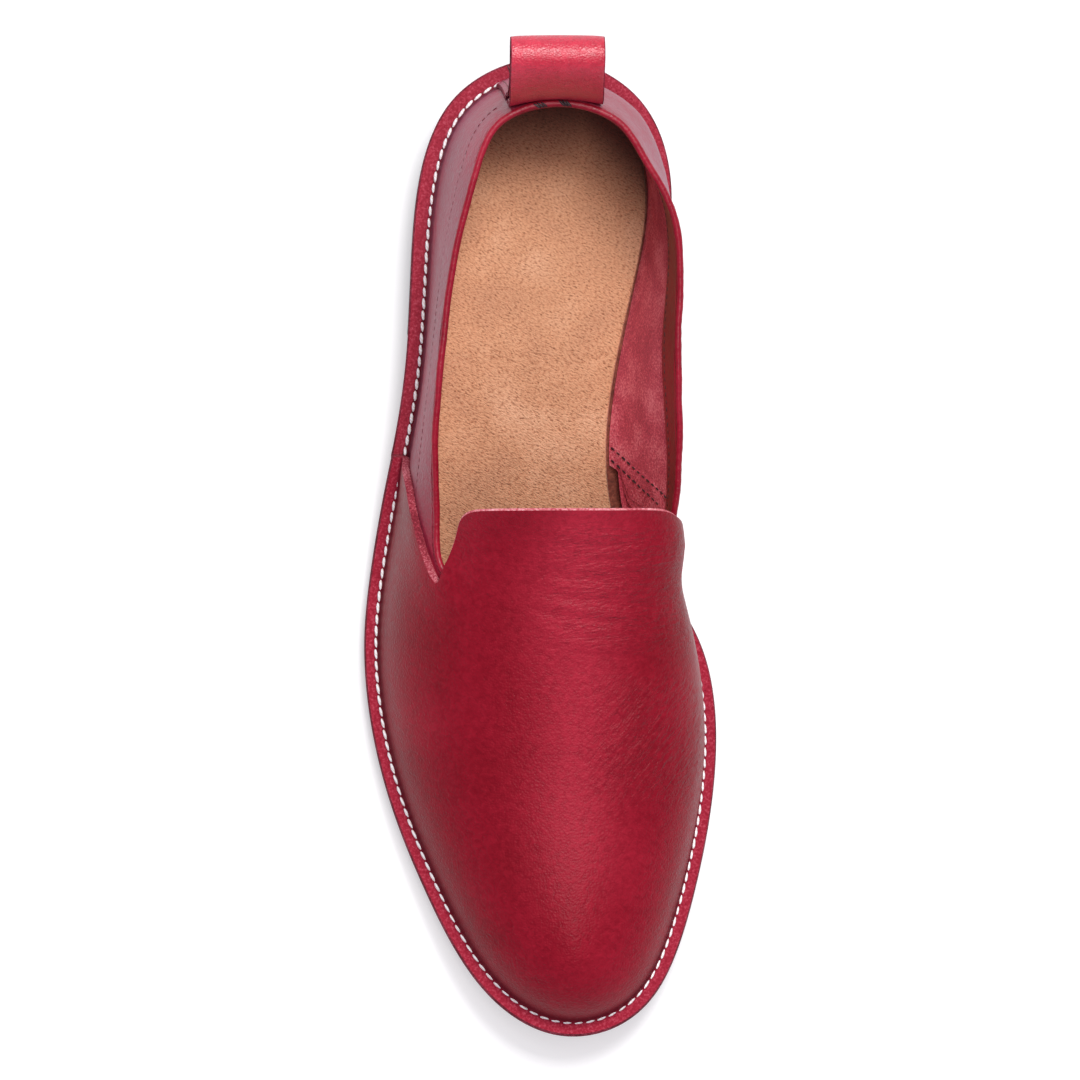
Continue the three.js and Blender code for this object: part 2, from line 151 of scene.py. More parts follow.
plan = np.array([
    # at, lateral, medial
    (0.000, -0.010, -0.010), (0.012, -0.160, 0.138), (0.041, -0.272, 0.249), (0.090, -0.346, 0.322),
    (0.156, -0.382, 0.341), (0.246, -0.397, 0.298), (0.349, -0.420, 0.241), (0.452, -0.468, 0.246),
    (0.534, -0.503, 0.331), (0.587, -0.517, 0.418), (0.649, -0.511, 0.470), (0.715, -0.480, 0.478),
    (0.780, -0.427, 0.459), (0.846, -0.353, 0.421), (0.912, -0.262, 0.366), (0.961, -0.161, 0.293),
    (0.990, -0.050, 0.192), (1.000, 0.069, 0.069),
])
last = np.array([
    # at, ridge, crest, lateral_full, medial_full, lateral_swell, medial_swell, bend
    (0.000, 1.470, -0.010, 3.00, 3.00, -0.060, -0.060, 2.0),
    (0.035, 1.470, -0.008, 3.00, 3.00, -0.038, -0.038, 1.9),
    (0.100, 1.460, -0.004, 3.00, 3.00, -0.034, -0.008, 1.7),
    (0.150, 1.445, 0.000, 3.00, 3.00, -0.026, 0.052, 1.4),
    (0.200, 1.420, 0.006, 3.00, 3.00, -0.010, 0.094, 1.1),
    (0.270, 1.380, 0.018, 3.00, 3.00, 0.006, 0.126, 0.9),
    (0.360, 1.250, 0.034, 2.80, 3.10, 0.012, 0.164, 0.8),
    (0.450, 1.030, 0.046, 2.40, 3.20, 0.007, 0.156, 0.8),
    (0.530, 0.900, 0.046, 2.35, 3.00, 0.003, 0.090, 0.9),
    (0.600, 0.790, 0.042, 2.30, 2.70, 0.000, 0.033, 1.0),
    (0.700, 0.655, 0.042, 2.30, 2.50, 0.000, 0.015, 1.0),
    (0.800, 0.545, 0.048, 2.30, 2.40, 0.000, 0.008, 1.0),
    (0.900, 0.440, 0.056, 2.30, 2.30, 0.000, 0.003, 1.0),
    (1.000, 0.310, 0.066, 2.30, 2.30, 0.000, 0.000, 1.0),
])
last_names = ("ridge", "crest", "lateral_full", "medial_full", "lateral_swell", "medial_swell", "bend")
ridge_start = 0.12
ridge_end = 0.89
swell_peak = 0.6

# Edges seen from the side: station, and height as a share of the collar height
collar = [
    (0.000, 1.000), (0.100, 0.960), (0.200, 0.855), (0.300, 0.773), (0.395, 0.735), (0.470, 0.706),
    (0.515, 0.718), (0.5385, 0.768),
]
notch = [
    (0.5385, 0.768), (0.5345, 0.782), (0.5220, 0.812), (0.5130, 0.838), (0.5010, 0.866), (0.4880, 0.893),
    (0.4790, 0.911), (0.4710, 0.936), (0.4665, 0.965), (0.4640, 1.000), (0.4630, 1.060), (0.4626, 1.150),
]
# On the inner side the throat tab hangs lower, over the collar
tab_inner = [
    (0.5385, 0.768), (0.5280, 0.754), (0.5150, 0.740), (0.5000, 0.730), (0.4850, 0.740), (0.4755, 0.770),
    (0.4710, 0.835), (0.4680, 0.897), (0.4645, 0.965), (0.4625, 1.040), (0.4626, 1.150),
]
vamp_edge = [
    (0.4025, 0.000), (0.4200, 0.200), (0.4400, 0.430), (0.4620, 0.535), (0.4800, 0.603), (0.4950, 0.650),
    (0.5155, 0.708), (0.5320, 0.748), (0.5385, 0.768),
]

# How far the leather springs outwards: station and millimetres, for the throat tab's inner side, the collar
# at the heel, the collar at the inner waist, and the inner wall at the heel, which bulges over the flange
tab_spring = [
    (0.462, 0.0), (0.470, 0.4), (0.476, 1.2), (0.485, 1.8), (0.498, 2.4), (0.514, 2.0), (0.529, 1.1),
    (0.540, 0.6), (0.560, 0.0),
]
heel_spring = [(0.000, 1.3), (0.010, 2.0), (0.025, 2.1), (0.045, 1.4), (0.080, 0.5), (0.120, 0.0)]
waist_spring = [
    (0.120, 0.0), (0.180, -0.5), (0.230, 0.0), (0.280, 0.9), (0.340, 1.5), (0.400, 1.2), (0.440, 0.7),
    (0.475, 0.0),
]
heel_bulge = [
    (0.000, 0.0), (0.020, 0.9), (0.060, 2.3), (0.120, 2.6), (0.170, 1.7), (0.240, 0.4), (0.300, 0.0),
]

# The heel loop's strip from its inner end over the bend to the foot of its stay: height as a share of the
# collar's, or of the loop's own rise where it is free, then how far out as a share of its width, whether the
# strip's inner leg lies beneath, how far it stands off, and how closely it follows the heel's round
loop_wall_rows = [(0.860, 0.001, 0, 2.2, 0.90), (0.930, 0.001, 0, 2.8, 0.80), (1.000, 0.004, 0, 3.0, 0.66)]
loop_free_rows = [(0.16, 0.022, 0, 3.0, 0.50), (0.40, 0.085, 0, 2.0, 0.34), (0.66, 0.190, 0, 1.0, 0.18),
                  (0.86, 0.305, 0, 0, 0.06), (0.97, 0.400, 0, 0, -0.02), (1.00, 0.475, 0, 0, -0.05),
                  (0.98, 0.555, 0, 0, -0.05), (0.89, 0.635, 0, 0, -0.02), (0.72, 0.655, 0, 0, 0.12),
                  (0.46, 0.520, 0, 1.0, 0.32), (0.18, 0.290, 0, 2.4, 0.50)]
stay_rows = [(0.965, 0.080, 1.0, 2.8, 0.68), (0.890, 0.010, 1.0, 2.2, 0.82), (0.820, 0.001, 1.0, 1.6, 0.94),
             (0.750, 0.000, 0.3, 1.0, 1.00), (0.660, 0.000, 0.0, 0, 1.00), (0.500, 0.000, 0.0, 0, 1.00),
             (0.340, 0.000, 0.0, 0, 1.00), (0.190, 0.000, 0.0, 0, 1.00), (0.060, 0.000, 0.0, 0, 1.00)]
binding_stand = 0.35
loop_columns = 33
loop_steps = 190
loop_edge_columns = 2
stay_share = 0.62

# The sole's own curve
seat_end = heel_length / shoe_length
tread_start = 0.56
tread_end = 0.72
spring_power = 1.9

# How far the white seam lies inside the outsole's edge: station, lateral side, medial side
seam_inset = np.array([
    (0.00, 4.2, 4.2), (0.10, 4.1, 2.6), (0.15, 4.1, 2.0), (0.35, 3.5, 1.6), (0.40, 3.3, 1.2),
    (0.45, 3.1, 0.9), (0.54, 3.0, 1.6), (0.61, 3.0, 3.1), (0.80, 3.1, 3.1), (0.95, 3.4, 3.4),
    (1.00, 3.5, 3.5),
])

# Creases of the vamp in plan: from, through and to (station, across in mm), then width and depth in mm.
# A swell runs along each crease, its height a share of the depth and its place counted in widths.
crease_points = 24
crease_window = 30.0
swell_height = 0.45
swell_place = 2.1
vamp_creases = [
    ((0.498, -4.0), (0.500, 14.0), (0.484, 31.0), 1.5, 0.20),
    ((0.512, 0.0), (0.514, 16.0), (0.500, 34.0), 1.4, 0.20),
    ((0.526, -8.0), (0.532, 12.0), (0.522, 33.0), 1.6, 0.22),
    ((0.546, -6.0), (0.556, 10.0), (0.560, 30.0), 1.6, 0.24),
    ((0.562, -10.0), (0.576, 8.0), (0.582, 30.0), 1.7, 0.26),
    ((0.578, -4.0), (0.592, 10.0), (0.592, 26.0), 1.5, 0.20),
    ((0.604, 6.0), (0.612, 18.0), (0.606, 32.0), 1.5, 0.14),
    ((0.700, 12.0), (0.672, 21.0), (0.640, 27.0), 1.7, 0.20),
    ((0.722, 18.0), (0.694, 26.0), (0.660, 32.0), 1.8, 0.20),
    ((0.742, 20.0), (0.716, 29.0), (0.688, 34.0), 1.8, 0.18),
]

# Rows of stitches that hold the lining's front, inner side: station and height share
lining_rows = [
    [(0.3985, 0.030), (0.4149, 0.180), (0.4334, 0.377), (0.4500, 0.580)],
    [(0.4115, 0.030), (0.4348, 0.234), (0.4601, 0.514)],
]


def spline(knots, values):
    """A natural cubic spline, as a function of an array of places."""
    knots = np.asarray(knots, float)
    values = np.asarray(values, float)
    count = len(knots)
    system = np.eye(count)
    right = np.zeros(count)
    for i in range(1, count - 1):
        before = knots[i] - knots[i - 1]
        after = knots[i + 1] - knots[i]
        system[i, i - 1:i + 2] = before, 2 * (before + after), after
        right[i] = 6 * ((values[i + 1] - values[i]) / after - (values[i] - values[i - 1]) / before)
    bend = np.linalg.solve(system, right)

    def value(place):
        place = np.asarray(place, float)
        i = np.clip(np.searchsorted(knots, place) - 1, 0, count - 2)
        width = knots[i + 1] - knots[i]
        b = (place - knots[i]) / width
        a = 1 - b
        pull = ((a ** 3 - a) * bend[i] + (b ** 3 - b) * bend[i + 1]) * width * width / 6
        return a * values[i] + b * values[i + 1] + pull

    return value


def reach_along(points):
    """How far along a line of points each of them lies."""
    return np.concatenate([[0], np.cumsum(np.linalg.norm(np.diff(points, axis=0), axis=1))])


def turn_at(at):
    """The turn on the inner side at a station."""
    return np.arccos(1 - 2 * at) / np.pi


def station_at(turn):
    """The station at a turn of the outline."""
    return (1 - np.cos(np.pi * turn)) / 2


def outline_curve():
    """The sole's outline across, round the whole shoe: turn 0 at the heel, 1 at the toe, 2 at the heel."""
    medial = np.column_stack([turn_at(plan[:, 0]), plan[:, 2]])
    lateral = plan[1:-1][::-1]
    back = np.column_stack([2 - turn_at(lateral[:, 0]), lateral[:, 1]])
    ring = np.vstack([medial, back])
    before = ring[-3:] - (2, 0)
    after = ring[:4] + (2, 0)
    rows = np.vstack([before, ring, after])
    return spline(rows[:, 0], rows[:, 1])


across = outline_curve()
form = {name: spline(last[:, 0], last[:, i + 1]) for i, name in enumerate(last_names)}
collar_up = spline(*zip(*collar))


def outline_point(turn, inset):
    """Points of the outline moved in by the inset, with their outward directions."""
    step = 0.0005
    turn = np.mod(turn, 2)
    spot = lambda t: np.stack([across(t) * ball_width, -station_at(t) * shoe_length], -1)
    along = spot(turn + step) - spot(turn - step)
    along /= np.linalg.norm(along, axis=-1, keepdims=True)
    outward = np.stack([-along[..., 1], along[..., 0]], -1)
    return spot(turn) - outward * np.asarray(inset)[..., None], outward


def skin_point(turn, rise, grow):
    """Points on the last's form: rise 0 is the foot of the wall and 1 the ridge."""
    turn, rise, grow = np.broadcast_arrays(*(np.asarray(v, float) for v in (np.mod(turn, 2), rise, grow)))
    at = station_at(turn)
    medial = turn <= 1
    foot, outward = outline_point(turn, flange_width - grow)
    crest_at = ridge_start + (ridge_end - ridge_start) * at
    crest = np.stack([form["crest"](crest_at) * ball_width, -crest_at * shoe_length], -1)
    full = np.where(medial, form["medial_full"](at), form["lateral_full"](at))
    swell = np.where(medial, form["medial_swell"](at), form["lateral_swell"](at)) * ball_width
    angle = rise * np.pi / 2
    cosine = np.maximum(np.cos(angle), 0)
    sine = np.sin(angle)
    reach = (cosine ** full + sine ** full) ** (1 / full)
    side = cosine / reach
    up = sine / reach
    share = (up / swell_peak) ** form["bend"](at) * (1 - up ** 6) / (1 - swell_peak ** 6)
    flat = crest + (foot - crest) * side[..., None] + outward * (swell * share)[..., None]
    height = (form["ridge"](-flat[..., 1] / shoe_length) * instep_height + grow) * up
    return np.concatenate([flat, (clearance + height)[..., None]], -1)


def sole_lift(y):
    """How far heel, arch and toe spring raise the sole's underside."""
    at = -y / shoe_length
    t = np.clip((at - seat_end) / (tread_start - seat_end), 0, 1)
    arch = t * t * (3 - 2 * t)
    spring = np.maximum(0, (at - tread_end) / (1 - tread_end))
    return heel_height * (1 - arch) + toe_spring * spring ** spring_power


cad_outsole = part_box("outsole")
ring_turns = np.arange(80) / 40
shift_x = cad_outsole[0][0] / MM - outline_point(ring_turns, 0.0)[0][:, 0].min()
shift_y = cad_outsole[1][1] / MM


def place(points):
    """Raises points by the sole's curve and moves them into the frame, still in millimetres."""
    moved = np.array(points, float)
    moved[..., 2] += sole_lift(moved[..., 1]) + outsole_thickness
    moved[..., 0] += shift_x
    moved[..., 1] += shift_y
    return moved


def smooth_step(low, high, value):
    """0 below low, 1 above high, and a smooth slope between them."""
    t = np.clip((value - low) / (high - low), 0, 1)
    return t * t * (3 - 2 * t)


def unit(vectors):
    """The vectors at length 1."""
    return vectors / np.maximum(np.linalg.norm(vectors, axis=-1, keepdims=True), 1e-12)


def wobble(points, size, seed):
    """A smooth irregular value between about -1 and 1, with waves of the given size."""
    rng = np.random.default_rng(seed)
    total = np.zeros(len(points))
    for _ in range(7):
        direction = unit(rng.normal(size=3))
        length = size * rng.uniform(0.7, 1.5)
        total += np.sin(points @ direction * 2 * np.pi / length + rng.uniform(0, 6.28))
    return total / 3.5


def rise_at_height(turn, grow, height_of):
    """The rise at which each turn's wall reaches the height that belongs to its place along the shoe."""
    low = np.zeros_like(turn)
    high = np.ones_like(turn)
    for _ in range(36):
        middle = (low + high) / 2
        spot = skin_point(turn, middle, grow)
        below = spot[..., 2] < height_of(-spot[..., 1] / shoe_length)
        low = np.where(below, middle, low)
        high = np.where(below, high, middle)
    return (low + high) / 2


def edge_height(up):
    """The height that belongs to a share of the collar height."""
    return clearance + np.asarray(up) * collar_height


def collar_height_at(at):
    """The collar's height at a station."""
    return edge_height(collar_up(np.clip(at, 0, collar[-1][0])))


def height_share(local):
    """Height as a share of the collar height, as the edge tables have it."""
    return (local[:, 2] - clearance) / collar_height


def sprung_back(local):
    """How far the wall springs outwards under the collar, at the heel and at the inner waist."""
    at = -local[:, 1] / shoe_length
    up = height_share(local)
    at_heel = np.interp(at, *zip(*heel_spring)) * smooth_step(0.60, 0.98, up)
    at_waist = np.interp(at, *zip(*waist_spring)) * smooth_step(0.30, 0.72, up)
    return at_heel + at_waist * smooth_step(8.0, 20.0, local[:, 0])


def wall_frame(turn, rise, grow):
    """Placed points on the wall as it springs, with their outward normals."""
    step = 0.002
    local = skin_point(turn, rise, grow)
    spot = place(local)
    along = place(skin_point(turn + step, rise, grow)) - place(skin_point(turn - step, rise, grow))
    up = place(skin_point(turn, np.minimum(rise + step, 1), grow)) - place(
        skin_point(turn, np.maximum(rise - step, 0), grow))
    normal = unit(np.cross(up, along))
    return spot + normal * sprung_back(local)[:, None], normal


# Turns of the columns round the shoe, evenly apart along the outline, the same on both sides
fine_turns = np.linspace(0, 1, 4000)
fine_steps = sum(np.linalg.norm(np.diff(outline_point(t, 0.0)[0], axis=0), axis=1)
                 for t in (fine_turns, 2 - fine_turns)) / 2
fine_length = np.concatenate([[0], np.cumsum(fine_steps)])
half_turns = np.interp(np.linspace(0, fine_length[-1], half_columns + 1), fine_length, fine_turns)
turns = np.concatenate([half_turns, 2 - half_turns[1:-1][::-1]])
column_count = len(turns)
column_mate = (column_count - np.arange(column_count)) % column_count


def ring_faces(row_count, joined_top=True):
    """Quads of a grid of rings whose last ring closes on itself along the ridge."""
    index = np.arange(row_count * column_count).reshape(row_count, column_count)
    if joined_top:
        spots = np.arange(column_count)
        index[-1] = (row_count - 1) * column_count + np.where(spots > half_columns, column_mate, spots)
    near = index
    far = np.roll(index, -1, axis=1)
    return np.stack([far[:-1], near[:-1], near[1:], far[1:]], -1).reshape(-1, 4)


def face_normals(points, faces):
    """Smooth normals at the vertices of a quad mesh."""
    corners = points[faces]
    facing = np.cross(corners[:, 2] - corners[:, 0], corners[:, 3] - corners[:, 1])
    normals = np.zeros_like(points)
    for k in range(4):
        np.add.at(normals, faces[:, k], facing)
    return unit(normals)


def inside_distance(points, outline):
    """Signed distance of 2-D points from a closed outline, positive inside."""
    outline = np.asarray(outline, float)
    best = np.full(len(points), np.inf)
    inside = np.zeros(len(points), bool)
    for a, b in zip(outline, np.roll(outline, -1, axis=0)):
        edge = b - a
        offset = points - a
        share = np.clip(offset @ edge / max(edge @ edge, 1e-12), 0, 1)
        best = np.minimum(best, np.linalg.norm(offset - share[:, None] * edge, axis=1))
        crosses = (a[1] > points[:, 1]) != (b[1] > points[:, 1])
        if b[1] != a[1]:
            inside ^= crosses & (points[:, 0] < a[0] + (points[:, 1] - a[1]) * edge[0] / edge[1])
    return np.where(inside, best, -best)


def clip(data, faces, keep):
    """Cuts a mesh where keep crosses zero. data has one row of values for each vertex."""
    inside = keep > 0
    kinds = inside[faces].sum(axis=1)
    kept = [tuple(face) for face in faces[kinds == faces.shape[1]]]
    extra = []
    cuts = {}
    for face in faces[(kinds > 0) & (kinds < faces.shape[1])]:
        corners = []
        for k, a in enumerate(face):
            b = face[(k + 1) % len(face)]
            if inside[a]:
                corners.append(a)
            if inside[a] != inside[b]:
                pair = (min(a, b), max(a, b))
                if pair not in cuts:
                    share = keep[pair[0]] / (keep[pair[0]] - keep[pair[1]])
                    extra.append(data[pair[0]] + (data[pair[1]] - data[pair[0]]) * share)
                    cuts[pair] = len(data) + len(extra) - 1
                corners.append(cuts[pair])
        unique = [c for k, c in enumerate(corners) if c != corners[k - 1]]
        if len(unique) > 2:
            kept.append(tuple(unique))
    merged = np.vstack([data, np.array(extra)]) if extra else data
    used = sorted({c for face in kept for c in face})
    renumber = {old: new for new, old in enumerate(used)}
    return merged[used], [tuple(renumber[c] for c in face) for face in kept]


def new_piece(name, points, faces, materials, slots=None, marks=None):
    """A mesh object from points in millimetres in the frame."""
    mesh = bpy.data.meshes.new(name)
    mesh.from_pydata((np.asarray(points) * MM).tolist(), [], [tuple(int(c) for c in f) for f in faces])
    mesh.polygons.foreach_set("use_smooth", np.ones(len(mesh.polygons), bool))
    if slots is not None:
        mesh.polygons.foreach_set("material_index", np.asarray(slots, np.int32))
    for mark, values in (marks or {}).items():
        attribute = mesh.attributes.new(mark, "FLOAT", "POINT")
        attribute.data.foreach_set("value", np.asarray(values, np.float32))
    for material in materials:
        mesh.materials.append(material)
    mesh.set_sharp_from_angle(angle=math.radians(sharp_degrees))
    mesh.validate()
    piece = bpy.data.objects.new(name, mesh)
    bpy.context.scene.collection.objects.link(piece)
    return piece


def boundary_edges(faces):
    """The edges that have a face on one side only, in that face's order."""
    directed = set()
    for face in faces:
        for k, a in enumerate(face):
            directed.add((a, face[(k + 1) % len(face)]))
    return [(a, b) for a, b in directed if (b, a) not in directed]


def leather_sheet(name, data, faces, materials, marks):
    """Gives a surface its thickness: data holds point, normal and thickness, then the marks. The cut edges
    bulge a little, and the mark called rim says which material they take."""
    points = data[:, :3]
    normals = unit(data[:, 3:6])
    count = len(points)
    inner = points - normals * data[:, 6:7]
    edges = boundary_edges(faces)
    outward = np.zeros_like(points)
    for a, b in edges:
        side = np.cross(points[b] - points[a], normals[a] + normals[b])
        outward[a] += side
        outward[b] += side
    outward = unit(outward)
    rim = sorted({a for edge in edges for a in edge})
    rim_slot = np.rint(data[:, 7 + marks.index("rim")]).astype(int)
    rows = {}
    extra = []
    for k, share in enumerate(rim_shares):
        for a in rim:
            depth = np.linalg.norm(inner[a] - points[a])
            bulge = min(edge_roundness * depth, most_bulge) * math.sin(math.pi * share)
            extra.append(points[a] + (inner[a] - points[a]) * share + outward[a] * bulge)
            rows[k, a] = 2 * count + len(extra) - 1
    everything = np.vstack([points, inner, np.array(extra)])
    all_faces = list(faces) + [tuple(c + count for c in reversed(face)) for face in faces]
    slots = [good_side] * len(faces) + [flesh_side] * len(faces)
    ladder = len(rim_shares)
    for a, b in edges:
        left = [a] + [rows[k, a] for k in range(ladder)] + [a + count]
        right = [b] + [rows[k, b] for k in range(ladder)] + [b + count]
        for k in range(ladder + 1):
            all_faces.append((right[k], left[k], left[k + 1], right[k + 1]))
            slots.append(rim_slot[a])
    rim_index = np.array(rim, int)
    spread = {}
    for i, mark in enumerate(marks):
        column = data[:, 7 + i]
        spread[mark] = np.concatenate([column, column] + [column[rim_index]] * ladder)
    return new_piece(name, everything, all_faces, materials, slots, spread)


# Colours and materials

def linear(code):
    """An sRGB hex colour as linear RGBA."""
    parts = [int(code[i:i + 2], 16) / 255 for i in (1, 3, 5)]
    return tuple(c / 12.92 if c <= 0.04045 else ((c + 0.055) / 1.055) ** 2.4 for c in parts) + (1.0,)


def add_node(tree, kind, settings=None, inputs=None, stops=None):
    """Adds a node, sets its properties, sets or links its inputs, and gives a colour ramp its stops."""
    node = tree.nodes.new(kind)
    for name, value in (settings or {}).items():
        setattr(node, name, value)
    for name, value in (inputs or {}).items():
        if isinstance(value, bpy.types.NodeSocket):
            tree.links.new(value, node.inputs[name])
        else:
            node.inputs[name].default_value = value
    for k, (spot, colour) in enumerate(stops or ()):
        element = node.color_ramp.elements[k] if k < 2 else node.color_ramp.elements.new(spot)
        element.position = spot
        element.color = linear(colour)
    return node


def new_material(name, roughness, **constants):
    """A material with constant values on its shader, named by their sockets."""
    material = bpy.data.materials.new(name)
    material.use_nodes = True
    tree = material.node_tree
    shader = tree.nodes["Principled BSDF"]
    shader.inputs["Roughness"].default_value = roughness
    for socket, value in constants.items():
        shader.inputs[socket.replace("_", " ")].default_value = value
    return material, tree, shader


def grained_leather(name, deep, middle, light, roughness, grain=0.10, sheen=0.0, flange=False, ridge_highlight=None,
                    pebble_mm=1.0, ior=1.40, wrinkled=1.2):
    """Aniline-dyed calf, glazed smooth: the dye is uneven over a few centimetres, a fine pebble grain breaks
    up the gloss, and a soft wax finish keeps the highlights broad. A ridge highlight is painted: a lighter
    colour laid along the ridge, where the light from above falls."""
    constants = {"Sheen_Weight": sheen, "Sheen_Roughness": 0.45, "Sheen_Tint": linear("#B4A4DC"), "IOR": ior}
    material, tree, shader = new_material(name, roughness, **constants)
    spot = add_node(tree, "ShaderNodeTexCoord").outputs["Object"]
    # dye clouds about 35 mm across
    cloud = add_node(tree, "ShaderNodeTexNoise", None, {"Vector": spot, "Scale": 28.0, "Detail": 3.0})
    # pebbles drawn 0.6 to 1 mm across, coarser than the real 0.4 mm so that they show
    pebble = add_node(tree, "ShaderNodeTexVoronoi", {"feature": "SMOOTH_F1"},
                      {"Vector": spot, "Scale": 1 / (pebble_mm * MM), "Smoothness": 0.5})
    pore = add_node(tree, "ShaderNodeTexNoise", None, {"Vector": spot, "Scale": 1500.0, "Detail": 2.0})
    wrinkle = add_node(tree, "ShaderNodeTexNoise", None,
                       {"Vector": spot, "Scale": 520.0, "Detail": 4.0, "Distortion": 0.8})
    colour = add_node(tree, "ShaderNodeValToRGB", None, {"Fac": cloud.outputs["Fac"]},
                      ((0.3, deep), (0.72, light), (0.5, middle))).outputs["Color"]
    # painted highlight: the colour is lightened along the ridge, where the light from above lies
    if ridge_highlight:
        ridge = add_node(tree, "ShaderNodeAttribute", {"attribute_name": "ridge_highlight"}).outputs["Fac"]
        colour = add_node(tree, "ShaderNodeMix", {"data_type": "RGBA"},
                          {0: ridge, 6: colour, 7: linear(ridge_highlight)}).outputs[2]
    mottle = add_node(tree, "ShaderNodeValToRGB", None, {"Fac": wrinkle.outputs["Fac"]},
                      ((0.3, "#D6D2D2"), (0.7, "#FFFFFF"))).outputs["Color"]
    tinted = add_node(tree, "ShaderNodeMix", {"data_type": "RGBA", "blend_type": "MULTIPLY"},
                      {0: 0.8, 6: colour, 7: mottle}).outputs[2]
    bumps = {0: wrinkle.outputs["Fac"], 1: wrinkled, 2: pebble.outputs["Distance"]}
    height = add_node(tree, "ShaderNodeMath", {"operation": "MULTIPLY_ADD"}, bumps).outputs["Value"]
    height = add_node(tree, "ShaderNodeMath", {"operation": "MULTIPLY_ADD"},
                      {0: pore.outputs["Fac"], 1: 0.5, 2: height}).outputs["Value"]
    if ridge_highlight:
        # flexing wrinkles: fine lines about 1.5 mm apart, across at the throat and slanting at the inner ball
        for mark, turn, seed in (("across", -6.0, 3.0), ("slant", -52.0, 11.0)):
            zone = add_node(tree, "ShaderNodeAttribute", {"attribute_name": mark}).outputs["Fac"]
            turned = add_node(tree, "ShaderNodeMapping", {"vector_type": "POINT"},
                              {"Vector": spot, "Location": (seed, 0.0, 0.0),
                               "Rotation": (0.0, 0.0, math.radians(turn))}).outputs["Vector"]
            drawn = add_node(tree, "ShaderNodeMapping", {"vector_type": "POINT"},
                             {"Vector": turned, "Scale": (260.0, 900.0, 260.0)}).outputs["Vector"]
            lines = add_node(tree, "ShaderNodeTexNoise", None,
                             {"Vector": drawn, "Scale": 1.0, "Detail": 3.0, "Distortion": 0.5}).outputs["Fac"]
            pushed = add_node(tree, "ShaderNodeMath", {"operation": "MULTIPLY"},
                              {0: lines, 1: zone}).outputs["Value"]
            height = add_node(tree, "ShaderNodeMath", {"operation": "MULTIPLY_ADD"},
                              {0: pushed, 1: 5.0, 2: height}).outputs["Value"]
    finish = add_node(tree, "ShaderNodeMapRange", None,
                      {"Value": wrinkle.outputs["Fac"], "From Min": 0.3, "From Max": 0.7,
                       "To Min": roughness - 0.05, "To Max": roughness + 0.06}).outputs["Result"]
    if flange:
        # painted shade: the foot of the wall is darkened in the corner where it meets the flange
        foot = add_node(tree, "ShaderNodeAttribute", {"attribute_name": "foot"}).outputs["Fac"]
        tinted = add_node(tree, "ShaderNodeMix", {"data_type": "RGBA"},
                          {0: foot, 6: tinted, 7: linear("#5E0A1C")}).outputs[2]
        # the turned-out flange is scuffed and matt, with pale fibres
        edge = add_node(tree, "ShaderNodeAttribute", {"attribute_name": "flange"}).outputs["Fac"]
        fibre = add_node(tree, "ShaderNodeTexNoise", None, {"Vector": spot, "Scale": 1300.0, "Detail": 4.0,
                                                            "Roughness": 0.65})
        fuzz = add_node(tree, "ShaderNodeValToRGB", None, {"Fac": fibre.outputs["Fac"]},
                        ((0.30, "#841628"), (0.74, "#BC5060"), (0.52, "#9E2438"))).outputs["Color"]
        tinted = add_node(tree, "ShaderNodeMix", {"data_type": "RGBA"},
                          {0: edge, 6: tinted, 7: fuzz}).outputs[2]
        # painted shade: the leather is darkened in the groove that the white seam lies in
        groove = add_node(tree, "ShaderNodeAttribute", {"attribute_name": "groove"}).outputs["Fac"]
        tinted = add_node(tree, "ShaderNodeMix", {"data_type": "RGBA"},
                          {0: groove, 6: tinted, 7: linear("#6A1424")}).outputs[2]
        matt = add_node(tree, "ShaderNodeMath", {"operation": "MAXIMUM"}, {0: edge, 1: foot}).outputs["Value"]
        finish = add_node(tree, "ShaderNodeMapRange", None,
                          {"Value": matt, "To Min": finish, "To Max": 0.85}).outputs["Result"]
    tree.links.new(tinted, shader.inputs["Base Color"])
    tree.links.new(finish, shader.inputs["Roughness"])
    bump = add_node(tree, "ShaderNodeBump", None, {"Strength": 1.0, "Distance": grain * MM, "Height": height})
    tree.links.new(bump.outputs["Normal"], shader.inputs["Normal"])
    return material


def fibre_material(name, dark, middle, pale, grain_mm, relief, sheen):
    """Cut or napped leather: short fibres stand up, so it is matt and mottled, and its edges catch light."""
    constants = {"Sheen_Weight": sheen, "Sheen_Roughness": 0.6, "Sheen_Tint": linear(pale),
                 "Specular_IOR_Level": 0.25}
    material, tree, shader = new_material(name, 0.92, **constants)
    spot = add_node(tree, "ShaderNodeTexCoord").outputs["Object"]
    nap = add_node(tree, "ShaderNodeTexNoise", None, {"Vector": spot, "Scale": 1.0 / (grain_mm * MM),
                                                      "Detail": 5.0, "Roughness": 0.72})
    cloud = add_node(tree, "ShaderNodeTexNoise", None, {"Vector": spot, "Scale": 90.0, "Detail": 2.0})
    mixed = add_node(tree, "ShaderNodeMath", {"operation": "MULTIPLY_ADD"},
                     {0: cloud.outputs["Fac"], 1: 0.5, 2: nap.outputs["Fac"]})
    colour = add_node(tree, "ShaderNodeValToRGB", None, {"Fac": mixed.outputs["Value"]},
                      ((0.62, dark), (0.90, pale), (0.75, middle)))
    tree.links.new(colour.outputs["Color"], shader.inputs["Base Color"])
    bump = add_node(tree, "ShaderNodeBump", None, {"Strength": 1.0, "Distance": relief * MM,
                                                   "Height": nap.outputs["Fac"]})
    tree.links.new(bump.outputs["Normal"], shader.inputs["Normal"])
    return material


